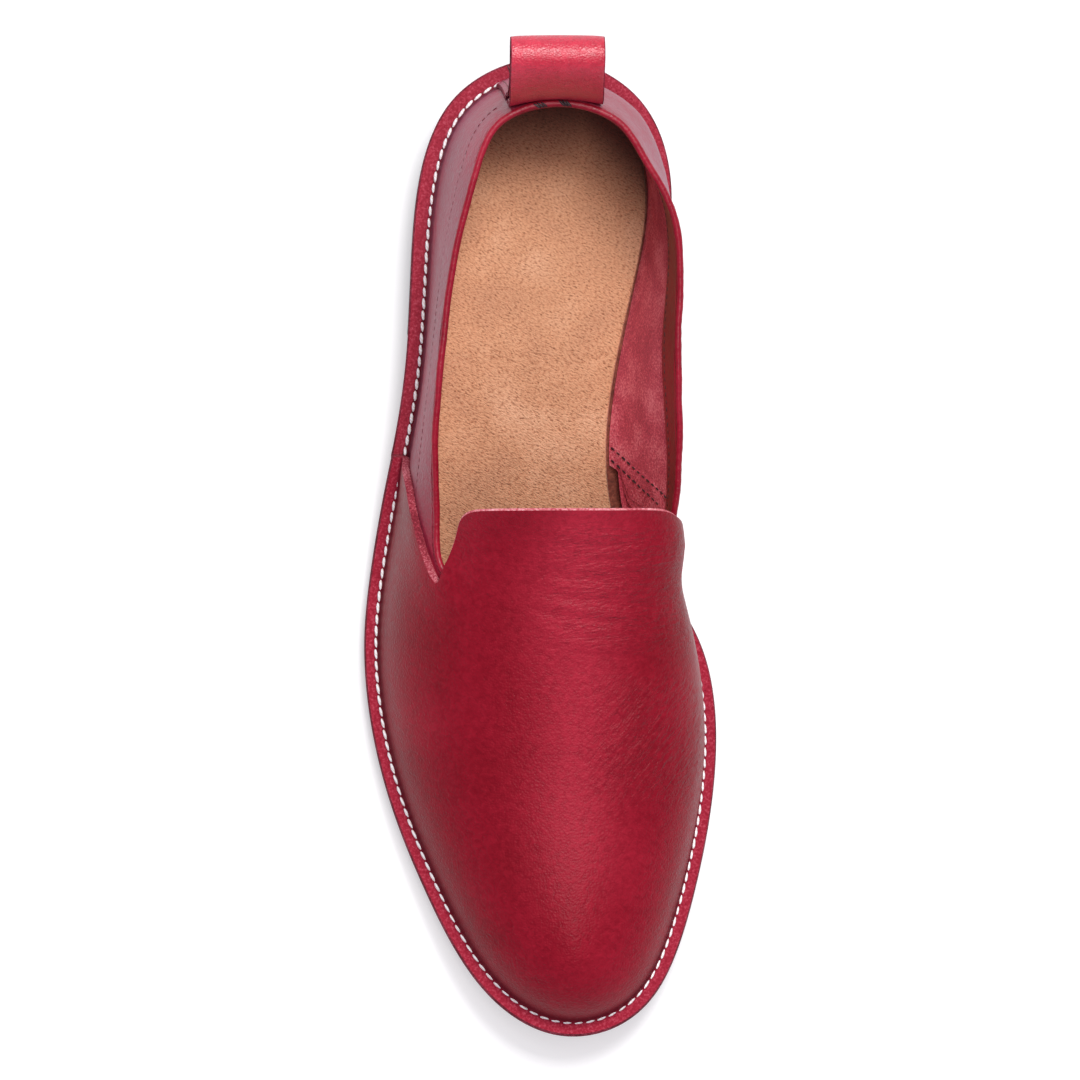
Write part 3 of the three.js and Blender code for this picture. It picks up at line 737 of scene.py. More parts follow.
def pigskin_material():
    """Undyed pigskin, brushed matt: tan, with slanting pores and a soft mottle; dark at the heel from wear
    and painted shade.
    """
    material, tree, shader = new_material("pigskin_insole_tan_matt", 0.7, IOR=1.45, Sheen_Weight=0.1)
    spot = add_node(tree, "ShaderNodeTexCoord").outputs["Object"]
    # pores lie slanting, about 1.0 mm long and 0.45 mm wide, as the photograph shows them
    turned = add_node(tree, "ShaderNodeMapping", {"vector_type": "POINT"},
                      {"Vector": spot, "Rotation": (0.0, 0.0, math.radians(28))})
    slant = add_node(tree, "ShaderNodeMapping", {"vector_type": "POINT"},
                     {"Vector": turned.outputs["Vector"], "Scale": (980.0, 2200.0, 980.0)})
    pore = add_node(tree, "ShaderNodeTexNoise", None, {"Vector": slant.outputs["Vector"], "Scale": 1.0,
                                                       "Detail": 3.0, "Roughness": 0.6})
    cloud = add_node(tree, "ShaderNodeTexNoise", None, {"Vector": spot, "Scale": 45.0, "Detail": 4.0})
    base = add_node(tree, "ShaderNodeValToRGB", None, {"Fac": cloud.outputs["Fac"]},
                    ((0.3, "#C89270"), (0.75, "#E2AE8A"), (0.52, "#D69E78"))).outputs["Color"]
    pits = add_node(tree, "ShaderNodeValToRGB", None, {"Fac": pore.outputs["Fac"]},
                    ((0.30, "#988070"), (0.58, "#FFFFFF"), (0.42, "#E4D8D0"))).outputs["Color"]
    colour = add_node(tree, "ShaderNodeMix", {"data_type": "RGBA", "blend_type": "MULTIPLY"},
                      {0: 1.0, 6: base, 7: pits}).outputs[2]
    # darker at the heel: partly wear, partly painted shade cast by the heel's walls
    heel_wear_and_shade = add_node(tree, "ShaderNodeAttribute", {"attribute_name": "heel_wear_and_shade"}).outputs["Fac"]
    colour = add_node(tree, "ShaderNodeMix", {"data_type": "RGBA", "blend_type": "MULTIPLY"},
                      {0: heel_wear_and_shade, 6: colour, 7: linear("#5E3A30")}).outputs[2]
    tree.links.new(colour, shader.inputs["Base Color"])
    bump = add_node(tree, "ShaderNodeBump", None, {"Strength": 1.0, "Distance": 0.65 * MM,
                                                   "Height": pore.outputs["Fac"]})
    tree.links.new(bump.outputs["Normal"], shader.inputs["Normal"])
    return material


def thread_material(name, colour, shade):
    """Waxed polyester thread, twisted: a soft gloss, with painted shade in darker lines between the plies."""
    material, tree, shader = new_material(name, 0.5, IOR=1.5, Sheen_Weight=0.05)
    spot = add_node(tree, "ShaderNodeTexCoord").outputs["Object"]
    ply = add_node(tree, "ShaderNodeTexWave", {"wave_type": "BANDS", "bands_direction": "DIAGONAL"},
                   {"Vector": spot, "Scale": 420.0, "Distortion": 1.0})
    tint = add_node(tree, "ShaderNodeValToRGB", None, {"Fac": ply.outputs["Fac"]},
                    ((0.1, shade), (0.5, colour)))
    tree.links.new(tint.outputs["Color"], shader.inputs["Base Color"])
    bump = add_node(tree, "ShaderNodeBump", None, {"Strength": 0.6, "Distance": 0.08 * MM,
                                                   "Height": ply.outputs["Fac"]})
    tree.links.new(bump.outputs["Normal"], shader.inputs["Normal"])
    return material


# AC2639 is the painted highlight colour laid along the vamp's ridge
vamp_leather = grained_leather("calf_vamp_red_glazed", "#82101E", "#8E1224", "#9A182B", 0.38, 0.12, 0.0, True,
                               "#AC2639", 0.7, 1.23)
quarter_leather = grained_leather("calf_quarter_red_glazed", "#8C0A26", "#980E2C", "#A41432", 0.44, 0.10,
                                  0.07, True)
binding_leather = grained_leather("calf_binding_red_rolled", "#880C22", "#981028", "#A81C34", 0.40, 0.09,
                                  pebble_mm=0.7)
loop_leather = grained_leather("calf_loop_red_glazed", "#BC1A34", "#C8243C", "#D43048", 0.42, 0.15,
                               pebble_mm=0.6, ior=1.65, wrinkled=0.2)
facing_leather = grained_leather("calf_facing_red_smooth", "#8E1024", "#A0142A", "#AE1C32", 0.55, 0.05)
sole_leather = grained_leather("sole_leather_dark_red_waxed", "#4E0E1A", "#5C1420", "#6A1A28", 0.5, 0.08)
heel_leather = grained_leather("heel_leather_dark_red_stacked", "#300A10", "#3A0D14", "#441019", 0.5, 0.08)
raw_edge = fibre_material("cut_leather_throat_pink_fibres", "#A83A48", "#CC6C74", "#E8A4A8", 0.8, 0.2, 0.3)
lap_edge_leather = fibre_material("cut_leather_lap_red_fibres", "#701826", "#9E3442", "#CE7C84", 0.6, 0.4,
                                  0.2)
sole_top = fibre_material("sole_leather_brown_unfinished", "#5A2C24", "#70382C", "#8A4C3C", 1.0, 0.2, 0.0)
dark_edge = fibre_material("cut_leather_edge_burnished", "#5A1220", "#781E2E", "#963A4A", 0.8, 0.12, 0.0)
suede = fibre_material("suede_lining_red_napped", "#A82A3E", "#D2465A", "#F4868E", 0.7, 0.45, 0.5)
pigskin = pigskin_material()
white_thread = thread_material("thread_white_waxed", "#FFFFFF", "#F2E4DC")
tonal_thread = thread_material("thread_red_waxed", "#7C1426", "#4A0C18")
dark_thread = thread_material("thread_dark_waxed", "#2C0A14", "#16050A")
# the awl holes between the white stitches are dark blobs in the thread's material: painted shade inside the
# holes
awl_hole_shade = thread_material("awl_holes_painted_shade", "#6A1222", "#4A0A16")


# The upper's leathers

def seam_line(turn):
    """The white seam's distance inside the edge at each turn."""
    at = station_at(turn)
    lateral = np.interp(at, seam_inset[:, 0], seam_inset[:, 1])
    medial = np.interp(at, seam_inset[:, 0], seam_inset[:, 2])
    return np.where(np.mod(turn, 2) <= 1, medial, lateral)


def upper_grid(grow, top):
    """Rings from the flange's cut edge over the fold and the wall to the ridge, in the shoe's own plan."""
    at = station_at(turns)
    full_height = form["ridge"](at) * instep_height + grow
    rise_low = np.arcsin(np.clip((top - clearance) / full_height, 0, 1)) * 2 / np.pi
    rise_high = np.arcsin(np.clip((top - clearance + fold_rise) / full_height, 0, 1)) * 2 / np.pi
    edge = np.concatenate([outline_point(turns, 0.0)[0], np.full((column_count, 1), top)], 1)
    corner = skin_point(turns, rise_low, grow)
    corner[:, 2] = top
    room = np.linalg.norm(edge - corner, axis=1, keepdims=True)
    start = corner + unit(edge - corner) * np.minimum(fold_reach, fold_room * room)
    finish = skin_point(turns, rise_high, grow)
    rings = [edge + (start - edge) * s for s in np.linspace(0, 1, flange_rows)]
    insets = [np.linalg.norm(ring[:, :2] - edge[:, :2], axis=1) for ring in rings]
    for s in np.arange(1, fold_rows) / fold_rows:
        rings.append(start * (1 - s) ** 2 + corner * 2 * s * (1 - s) + finish * s * s)
        insets.append(np.linalg.norm(rings[-1][:, :2] - edge[:, :2], axis=1))
    for s in np.linspace(0, 1, wall_rows):
        rings.append(skin_point(turns, rise_high + (1 - rise_high) * s, grow))
        insets.append(np.full(column_count, wall_inset))
    return np.array(rings), np.array(insets)


def crease_depth(points, creases):
    """How far soft troughs with a low swell on each side move the leather, seen in plan."""
    moved = np.zeros(len(points))
    here = points[:, :2]
    for first, through, final, width, depth in creases:
        knots = np.array([(mm, -at * shoe_length) for at, mm in (first, through, final)])
        t = np.linspace(0, 1, crease_points)[:, None]
        middle = 2 * knots[1] - (knots[0] + knots[2]) / 2
        line = knots[0] * (1 - t) ** 2 + middle * 2 * t * (1 - t) + knots[2] * t * t
        near = np.abs(here[:, 1] - line[:, 1].mean()) < crease_window
        gaps = np.linalg.norm(here[near, None, :] - line[None], axis=2)
        closest = gaps.argmin(axis=1)
        gap = gaps.min(axis=1)
        fade = np.sin(np.pi * np.clip(closest / (crease_points - 1), 0, 1)) ** 0.7
        swell = swell_height * np.exp(-((gap - swell_place * width) / width) ** 2)
        shape = -np.exp(-(gap / width) ** 2) + swell
        moved[near] += depth * shape * fade
    return moved


def side_line(rows, extra=0.0):
    """Rows of station and height share as points seen from the side, raised by the extra."""
    return [(-at * shoe_length, float(edge_height(up)) + extra) for at, up in rows]


def smooth_edge(rows, count):
    """A smooth line through the rows of an edge table."""
    rows = np.array(rows)
    reach = reach_along(rows * (shoe_length, collar_height))
    spots = np.linspace(0, reach[-1], count)
    return np.column_stack([spline(reach, rows[:, 0])(spots), spline(reach, rows[:, 1])(spots)])


far_back = 60.0
far_front = -shoe_length - 60.0
sky = 200.0
ground = -60.0
collar_edge = [(at, float(collar_up(at))) for at in np.linspace(-0.05, collar[-1][0], collar_points)]
lap_edge = smooth_edge(vamp_edge, edge_points)


def vamp_side(rows):
    """The vamp's outline seen from the side, whose tab ends in the given rows."""
    lap_foot = (-vamp_edge[0][0] * shoe_length, ground)
    tab_top = (-rows[-1][0] * shoe_length, sky)
    return ([lap_foot] + side_line(lap_edge) + side_line(smooth_edge(rows, edge_points)[1:])
            + [tab_top, (far_front, sky), (far_front, ground)])


def back_side(front, foot, extra):
    """The outline of a leather behind the vamp seen from the side, up to the collar and the extra."""
    return ([(far_back, foot), (far_back, float(edge_height(1.0)) + extra)] + side_line(collar_edge, extra)
            + side_line(front[::-1]) + [(-front[0][0] * shoe_length, foot)])


vamp_outline = vamp_side(notch)
vamp_outline_inner = vamp_side(tab_inner)
# the quarter runs on under the lap, but its flange stops where the vamp's begins
under_lap = [(at + 0.002 + 0.030 * float(smooth_step(0.07, 0.16, up)), up - 0.02) for at, up in lap_edge]
quarter_outline = back_side(under_lap, ground, 0.6)


def vamp_gap(local, turn):
    """Distance inside the vamp's cut edge seen from the side, by the outline of the point's own side."""
    seen = local[:, 1:]
    return np.where(turn <= 1, inside_distance(seen, vamp_outline_inner), inside_distance(seen, vamp_outline))


def quarter_gap(local, turn):
    return inside_distance(local[:, 1:], quarter_outline)


def upper_sheet(name, grow, top, gap_of, move, thickness_of, materials):
    """One leather of the upper: the whole surface, moved, then cut to its outline as seen from the side."""
    rings, insets = upper_grid(grow, top)
    row_count = len(rings)
    local = rings.reshape(-1, 3)
    faces = ring_faces(row_count)
    placed = place(local)
    normals = face_normals(placed, faces)
    turn = np.tile(turns, row_count)
    inset = insets.reshape(-1)
    moved = move(local, turn, inset)
    # the seam's groove, pressed in; its mark also darkens the leather in the groove as painted shade
    groove = np.exp(-((inset - seam_line(turn)) / groove_width) ** 2)
    placed = placed + normals * (moved - groove_depth * groove)[:, None]
    normals = face_normals(placed, faces)
    at = -local[:, 1] / shoe_length
    up = height_share(local)
    flange_mark = 1 - smooth_step(seam_line(turn) - 0.3, seam_line(turn) + 0.5, inset)
    # painted shade at the foot of the wall, strongest just above the flange and fading by 8 mm above it
    foot = (1 - flange_mark) * 0.8 * (1 - smooth_step(top + 1.0, top + 8.0, local[:, 2]))
    # painted highlight: a wandering band along the vamp's ridge, fading towards the toe, which the material
    # lightens
    ridge_highlight = (np.exp(-((local[:, 0] - 5.0 + 3.0 * wobble(local, 60, 12)) / 13.0) ** 2)
             * (1 - smooth_step(0.78, 0.92, at)))
    across_zone = (smooth_step(-14, 6, local[:, 0]) * smooth_step(0.465, 0.49, at)
                   * (1 - smooth_step(0.585, 0.625, at)))
    slant_zone = (smooth_step(2, 15, local[:, 0]) * smooth_step(0.615, 0.65, at)
                  * (1 - smooth_step(0.73, 0.79, at)))
    rim = np.where(inset < 0.5, flange_cut, np.where(up > throat_from, throat_cut, lap_cut))
    marks = {"rim": rim, "flange": flange_mark, "groove": groove * 0.6, "foot": foot, "ridge_highlight": ridge_highlight,
             "across": across_zone, "slant": slant_zone}
    data = np.column_stack([placed, normals, thickness_of(local, turn), *marks.values()])
    data, kept = clip(data, faces, gap_of(local, turn))
    return leather_sheet(name, data, kept, materials, tuple(marks))


def tab_flare(local):
    """How far the throat tab's inner side springs outwards."""
    at = -local[:, 1] / shoe_length
    up = height_share(local)
    band = smooth_step(0.58, 0.75, up) * (1 - 0.8 * smooth_step(0.86, 1.10, up))
    return np.interp(at, *zip(*tab_spring)) * band * smooth_step(12.0, 26.0, local[:, 0])


def lap_share(local, turn):
    """1 at the outer side's lapped edge, fading over the lap's reach; 0 on the tab and the inner side."""
    gap = np.maximum(vamp_gap(local, turn), 0)
    low = 1 - smooth_step(0.80, 0.90, height_share(local))
    return np.exp(-(gap / lap_reach) ** 2) * low * (turn > 1)


def flange_filled(local, thickness, top):
    """The flange reaches down to the sole: the leather and the welt strip beneath it count as one there."""
    share = 1 - smooth_step(top + 0.1, top + 1.6, local[:, 2])
    return thickness + (top - clearance - thickness) * share


def vamp_thickness_of(local, turn):
    near_edge = np.exp(-(np.maximum(vamp_gap(local, turn), 0) / 4.0) ** 2)
    high = smooth_step(0.84, 1.0, height_share(local))
    skive = tab_skive * (turn <= 1) * (1 - high) + throat_skive * high
    thickness = vamp_thickness + lap_swell * lap_share(local, turn) - skive * near_edge
    return flange_filled(local, thickness, flange_top + vamp_step)


def move_vamp(local, turn, inset):
    on_wall = inset == wall_inset
    return (lap_lift * lap_share(local, turn) + tab_flare(local)
            + on_wall * (crease_depth(local, vamp_creases) + 0.10 * wobble(local, 42, 3)))


def quarter_thickness_of(local, turn):
    return flange_filled(local, quarter_thickness, flange_top)


def move_quarter(local, turn, inset):
    tuck = -quarter_tuck * smooth_step(-1.5, 0.5, vamp_gap(local, turn))
    on_wall = inset == wall_inset
    at = -local[:, 1] / shoe_length
    up = height_share(local)
    bulge = np.interp(at, *zip(*heel_bulge)) * smooth_step(0.02, 0.15, up) * (1 - smooth_step(0.35, 0.85, up))
    return tuck + on_wall * (0.08 * wobble(local, 30, 5) + bulge * (turn <= 1) + sprung_back(local))


vamp = upper_sheet("vamp", vamp_step, flange_top + vamp_step, vamp_gap, move_vamp, vamp_thickness_of,
                   [vamp_leather, lap_edge_leather, suede, dark_edge, raw_edge])
quarter = upper_sheet("quarter", 0.0, flange_top, quarter_gap, move_quarter, quarter_thickness_of,
                      [quarter_leather, dark_edge, suede, dark_edge, dark_edge])


def inner_sheet(name, grow, outline, thickness, materials, wave=0.0):
    """A sheet seen from inside the shoe: its good side faces the foot."""
    rises = np.linspace(0.004, 1, inner_wall_rows)
    local = np.array([skin_point(turns, r, grow) for r in rises]).reshape(-1, 3)
    faces = ring_faces(inner_wall_rows)
    placed = place(local)
    normals = face_normals(placed, faces)
    placed = placed + normals * (wave * wobble(local, 18, 9) + sprung_back(local))[:, None]
    keep = inside_distance(local[:, 1:], outline)
    even = np.full(len(local), 1.0)
    data = np.column_stack([placed, -normals, thickness * even, even])
    data, kept = clip(data, faces[:, ::-1], keep)
    return leather_sheet(name, data, kept, materials, ("rim",))


lining_front = [(at + 0.008 + 0.0022 * math.sin(55 * up) + 0.0012 * math.sin(133 * up), up)
                for at, up in under_lap]
lining = inner_sheet("lining", lining_grow - lining_thickness, back_side(lining_front, 0.6, -0.4),
                     lining_thickness, [suede] * 3, 0.12)
facing_front = 0.525


def facing_reach(at):
    """How far down the facing reaches from the collar."""
    return facing_depth - (facing_depth - facing_narrow) * smooth_step(0.25, 0.42, at)


facing_edge = [(at, up) for at, up in collar_edge if at <= facing_front]
facing_foot = [(at, up - float(facing_reach(at)) / collar_height) for at, up in facing_edge]
facing_outline = side_line(facing_edge, -0.2) + side_line(facing_foot[::-1])
inside_grow = lining_grow - lining_thickness - facing_thickness - 0.03
facing = inner_sheet("facing", inside_grow, facing_outline, facing_thickness, [facing_leather] * 3)


# The rolled bead on the collar's edge

def along_path(points, pitch, start=0.0):
    """Even spots along a line of points: fractional indexes into it."""
    reach = reach_along(points)
    spots = np.arange(start, reach[-1] - start, pitch)
    return np.interp(spots, reach, np.arange(len(points))), reach[-1]


def sample(values, index):
    """Values between the rows at fractional indexes."""
    low = np.floor(index).astype(int)
    high = np.minimum(low + 1, len(values) - 1)
    return values[low] + (values[high] - values[low]) * (index - low)[:, None]


end_turn = float(turn_at(bead_end))
bead_turns = np.linspace(-end_turn, end_turn, 900)
bead_grow = -upper_wall / 2 + 0.1


def bead_height(at):
    return collar_height_at(at) + bead_lift


def bead_line():
    """The bead's centre line, with outward normals."""
    rise = rise_at_height(bead_turns, bead_grow, bead_height)
    return wall_frame(bead_turns, rise, bead_grow)


def bead_piece():
    middle, normal = bead_line()
    index, _ = along_path(middle, 0.8)
    middle = sample(middle, index)
    outward = unit(sample(normal, index))
    along = unit(np.gradient(middle, axis=0))
    over = unit(np.cross(along, outward))
    outward = unit(np.cross(over, along))
    over = np.where(over[:, 2:3] < 0, -over, over)
    sides = bead_sides
    rings = []
    pucker = 1 + 0.05 * wobble(middle, 7, 21) + 0.035 * wobble(middle, 2.5, 22)
    middle = middle + outward * (0.14 * wobble(middle, 16, 23))[:, None]
    for k in range(sides):
        angle = 2 * np.pi * k / sides
        flat = outward * math.cos(angle) * 1.02 + over * math.sin(angle) * 0.98
        rings.append(middle + flat * (bead_radius * pucker)[:, None])
    points = np.array(rings).transpose(1, 0, 2).reshape(-1, 3)
    rows = len(middle)
    faces = []
    for i in range(rows - 1):
        for k in range(sides):
            a, b = i * sides + k, i * sides + (k + 1) % sides
            faces.append((a, b, b + sides, a + sides))
    faces.append(tuple(range(sides))[::-1])
    faces.append(tuple((rows - 1) * sides + k for k in range(sides)))
    return outward_piece(new_piece("bead", points, faces, [binding_leather]))


def outward_piece(piece):
    """Turns all faces of a closed piece outwards."""
    mesh = bmesh.new()
    mesh.from_mesh(piece.data)
    bmesh.ops.recalc_face_normals(mesh, faces=mesh.faces)
    mesh.to_mesh(piece.data)
    mesh.free()
    return piece


bead = bead_piece()


# The heel loop and its stay

def heel_wall(height, x):
    """How far back the wall's outer face lies at a height, for an array of places across."""
    swings = np.linspace(-0.3, 0.3, 121)
    rise = rise_at_height(swings, 0.0, lambda at: np.full_like(at, height))
    spot = skin_point(swings, rise, 0.0)
    order = np.argsort(spot[:, 0])
    return np.interp(x, spot[order, 0], spot[order, 1])


def loop_grid():
    """Centre line of the strip and its round at each place across, in the shoe's own plan."""
    middle_x = float(across(0.0)) * ball_width + loop_shift
    rows = [(edge_height(up), edge_height(up), *rest) for up, *rest in loop_wall_rows]
    rows += [(edge_height(1.0) + up * loop_rise, edge_height(1.0), *rest) for up, *rest in loop_free_rows]
    rows += [(edge_height(up), edge_height(up), *rest) for up, *rest in stay_rows]
    knots = []
    offsets = []
    xs = middle_x + np.sin(np.linspace(-0.5, 0.5, loop_columns) * np.pi) * loop_width / 2
    for height, wall, out, under, lip, hug in rows:
        seat = 0.1 + lip * binding_stand + under * (loop_thickness + clearance)
        off = seat + loop_thickness / 2 + out * loop_width
        centre = float(heel_wall(wall, np.array([middle_x]))[0])
        knots.append((centre + off, height))
        offsets.append((heel_wall(wall, xs) - centre) * hug)
    knots = np.array(knots)
    reach = reach_along(knots)
    spots = np.linspace(0, reach[-1], loop_steps)
    line = np.column_stack([spline(reach, knots[:, 0])(spots), spline(reach, knots[:, 1])(spots)])
    rounds = np.array([np.interp(spots, reach, column) for column in np.array(offsets).T]).T
    return xs, line, rounds


def loop_skin():
    """The strip's two faces, outer then inner, as rows of places across in the shoe's own plan."""
    xs, line, rounds = loop_grid()
    tangent = unit(np.gradient(line, axis=0))
    normal = np.column_stack([-tangent[:, 1], tangent[:, 0]])
    # the strip's section: rounded edges, slightly thinner there
    across_share = (xs - xs.mean()) / (loop_width / 2)
    half = loop_thickness / 2 * (1 - 0.35 * np.abs(across_share) ** 12)
    lean = loop_lean * smooth_step(edge_height(1.0), edge_height(1.0) + loop_rise, line[:, 1])
    faces_points = []
    for face in (1, -1):
        spot_y = line[:, None, 0] + rounds + normal[:, None, 0] * half * face
        spot_z = line[:, None, 1] + normal[:, None, 1] * half * face
        xx = xs - lean[:, None]
        faces_points.append(np.stack([xx, spot_y, spot_z], -1))
    return place(np.array(faces_points))


def loop_piece(skins):
    """The strip between its two faces: loop leather, then the stay's, with darker leather at both edges."""
    _, count, wide, _ = skins.shape
    points = skins.reshape(-1, 3)
    back = count * wide
    faces = []
    slots = []
    for i in range(count - 1):
        leather = 2 if i >= stay_from else 0
        for j in range(wide - 1):
            a = i * wide + j
            faces.append((a, a + 1, a + wide + 1, a + wide))
            faces.append((back + a + wide, back + a + wide + 1, back + a + 1, back + a))
            slots += [leather if loop_edge_columns <= j < wide - 1 - loop_edge_columns else 1] * 2
        left, right = i * wide, i * wide + wide - 1
        faces.append((left, left + wide, back + left + wide, back + left))
        faces.append((right + wide, right, back + right, back + right + wide))
        slots += [1, 1]
    for i in (0, count - 1):
        for j in range(wide - 1):
            a = i * wide + j
            faces.append((a, a + 1, back + a + 1, back + a))
            slots.append(1)
    return outward_piece(new_piece("loop", points, faces, [loop_leather, dark_edge, quarter_leather], slots))


loop_skins = loop_skin()
stay_from = int(stay_share * loop_skins.shape[1])
loop = loop_piece(loop_skins)


# Insole, outsole and heel

def cut_ring(ring, front):
    """Stops a ring at a straight front: the columns past it spread along that line from side to side."""
    past = np.flatnonzero(ring[:, 1] < front)
    first, final = past[0] - 1, (past[-1] + 1) % column_count
    share = (np.arange(len(past)) + 1) / (len(past) + 1)
    corners = []
    for inner, outer in ((first, past[0]), (final, past[-1])):
        step = (front - ring[inner, 1]) / (ring[outer, 1] - ring[inner, 1])
        corners.append(ring[inner, 0] + (ring[outer, 0] - ring[inner, 0]) * step)
    cut = ring.copy()
    cut[past, 0] = corners[0] + (corners[1] - corners[0]) * share
    cut[past, 1] = front
    return cut


def plate_piece(name, levels, materials, top_slot=0, end_at=None):
    """A closed plate from (inset, height) levels round the outline, closed by strips from side to side."""
    rings = []
    for inset, height in levels:
        spot = outline_point(turns, inset)[0]
        rings.append(np.concatenate([spot, np.full((column_count, 1), float(height))], 1))
    if end_at is not None:
        rings = [cut_ring(ring, -end_at * shoe_length) for ring in rings]
    points = place(np.array(rings).reshape(-1, 3))
    faces = [tuple(face) for face in ring_faces(len(levels), joined_top=False)]
    slots = [0] * len(faces)
    top = (len(levels) - 1) * column_count
    for i in range(half_columns):
        a, b = i, i + 1
        c, d = column_mate[b], column_mate[a]
        if c != b or d != a:
            faces.append(tuple(dict.fromkeys((a, b, c, d))))
            faces.append(tuple(dict.fromkeys((top + b, top + a, top + d, top + c))))
            slots += [0, top_slot]
    good = [(face, slot) for face, slot in zip(faces, slots) if len(face) > 2]
    piece = new_piece(name, points, [f for f, _ in good], materials, [s for _, s in good])
    return outward_piece(piece)


def insole_piece():
    """A soft-edged pad: rings from its lower edge over the rim to the spine."""
    top = clearance + insole_thickness
    profile = [(0.0, clearance), (-0.15, clearance + 0.8), (-0.05, top - 0.8), (0.25, top - 0.25), (0.9, top)]
    rings = []
    for inset, height in profile:
        spot = outline_point(turns, insole_inset + inset)[0]
        rings.append(np.concatenate([spot, np.full((column_count, 1), height)], 1))
    at = station_at(turns)
    spine_at = ridge_start + (ridge_end - ridge_start) * at
    spine = np.column_stack([form["crest"](spine_at) * ball_width * 0.3, -spine_at * shoe_length,
                             np.full(column_count, top)])
    rim = rings[-1]
    for s in np.linspace(0, 1, insole_rings)[1:]:
        rings.append(rim + (spine - rim) * s)
    local = np.array(rings).reshape(-1, 3)
    faces = [tuple(face) for face in ring_faces(len(rings))]
    soft = smooth_step(0.2, 3.0, local[:, 2]) * (0.12 * wobble(local, 38, 31) + 0.05 * wobble(local, 12, 32))
    points = place(local)
    points[:, 2] += soft
    bottom = []
    for i in range(half_columns):
        a, b = i, i + 1
        c, d = column_mate[b], column_mate[a]
        corners = tuple(dict.fromkeys((a, b, c, d)))
        if len(corners) > 2:
            bottom.append(corners)
    # darkened at the heel and further forward along the inner side: partly wear, partly painted shade of the
    # heel's walls
    at = -local[:, 1] / shoe_length
    corner = (local[:, 0] - 0.09 * ball_width) / (0.22 * ball_width)
    heel_wear_and_shade = 1 - smooth_step(0.040 + 0.07 * np.clip(corner, 0, 1), 0.135 + 0.08 * np.clip(corner, 0, 1), at)
    return outward_piece(new_piece("insole_pad", points, faces + bottom, [pigskin], None, {"heel_wear_and_shade": heel_wear_and_shade}))


insole = insole_piece()
# Profiles of the edges from the bottom up: inset and height. The heel's has the joints of its lifts.
sole_bottom = -outsole_thickness
sole_levels = [
    (0.5, sole_bottom), (0.25, sole_bottom + 0.3), (0.15, sole_bottom + 1.2), (0.15, -2.0), (0.3, -0.9),
    (0.2, -0.3), (0.5, 0.0),
]
heel_bottom = sole_bottom - heel_height
heel_top = sole_bottom - clearance
heel_levels = [
    (1.2, heel_bottom), (0.8, heel_bottom + 0.5), (0.7, heel_bottom + 5.0), (0.9, heel_bottom + 5.2),
    (0.7, heel_bottom + 5.4), (0.6, heel_bottom + 9.8), (0.8, heel_bottom + 10.0),
    (0.6, heel_bottom + 10.2), (0.6, heel_top - 0.3), (0.8, heel_top),
]
outsole = plate_piece("sole", sole_levels, [sole_leather, sole_top], top_slot=1)
heel = plate_piece("heel_block", heel_levels, [heel_leather], end_at=seat_end)


# Stitches, as geometry nodes on points that know their direction

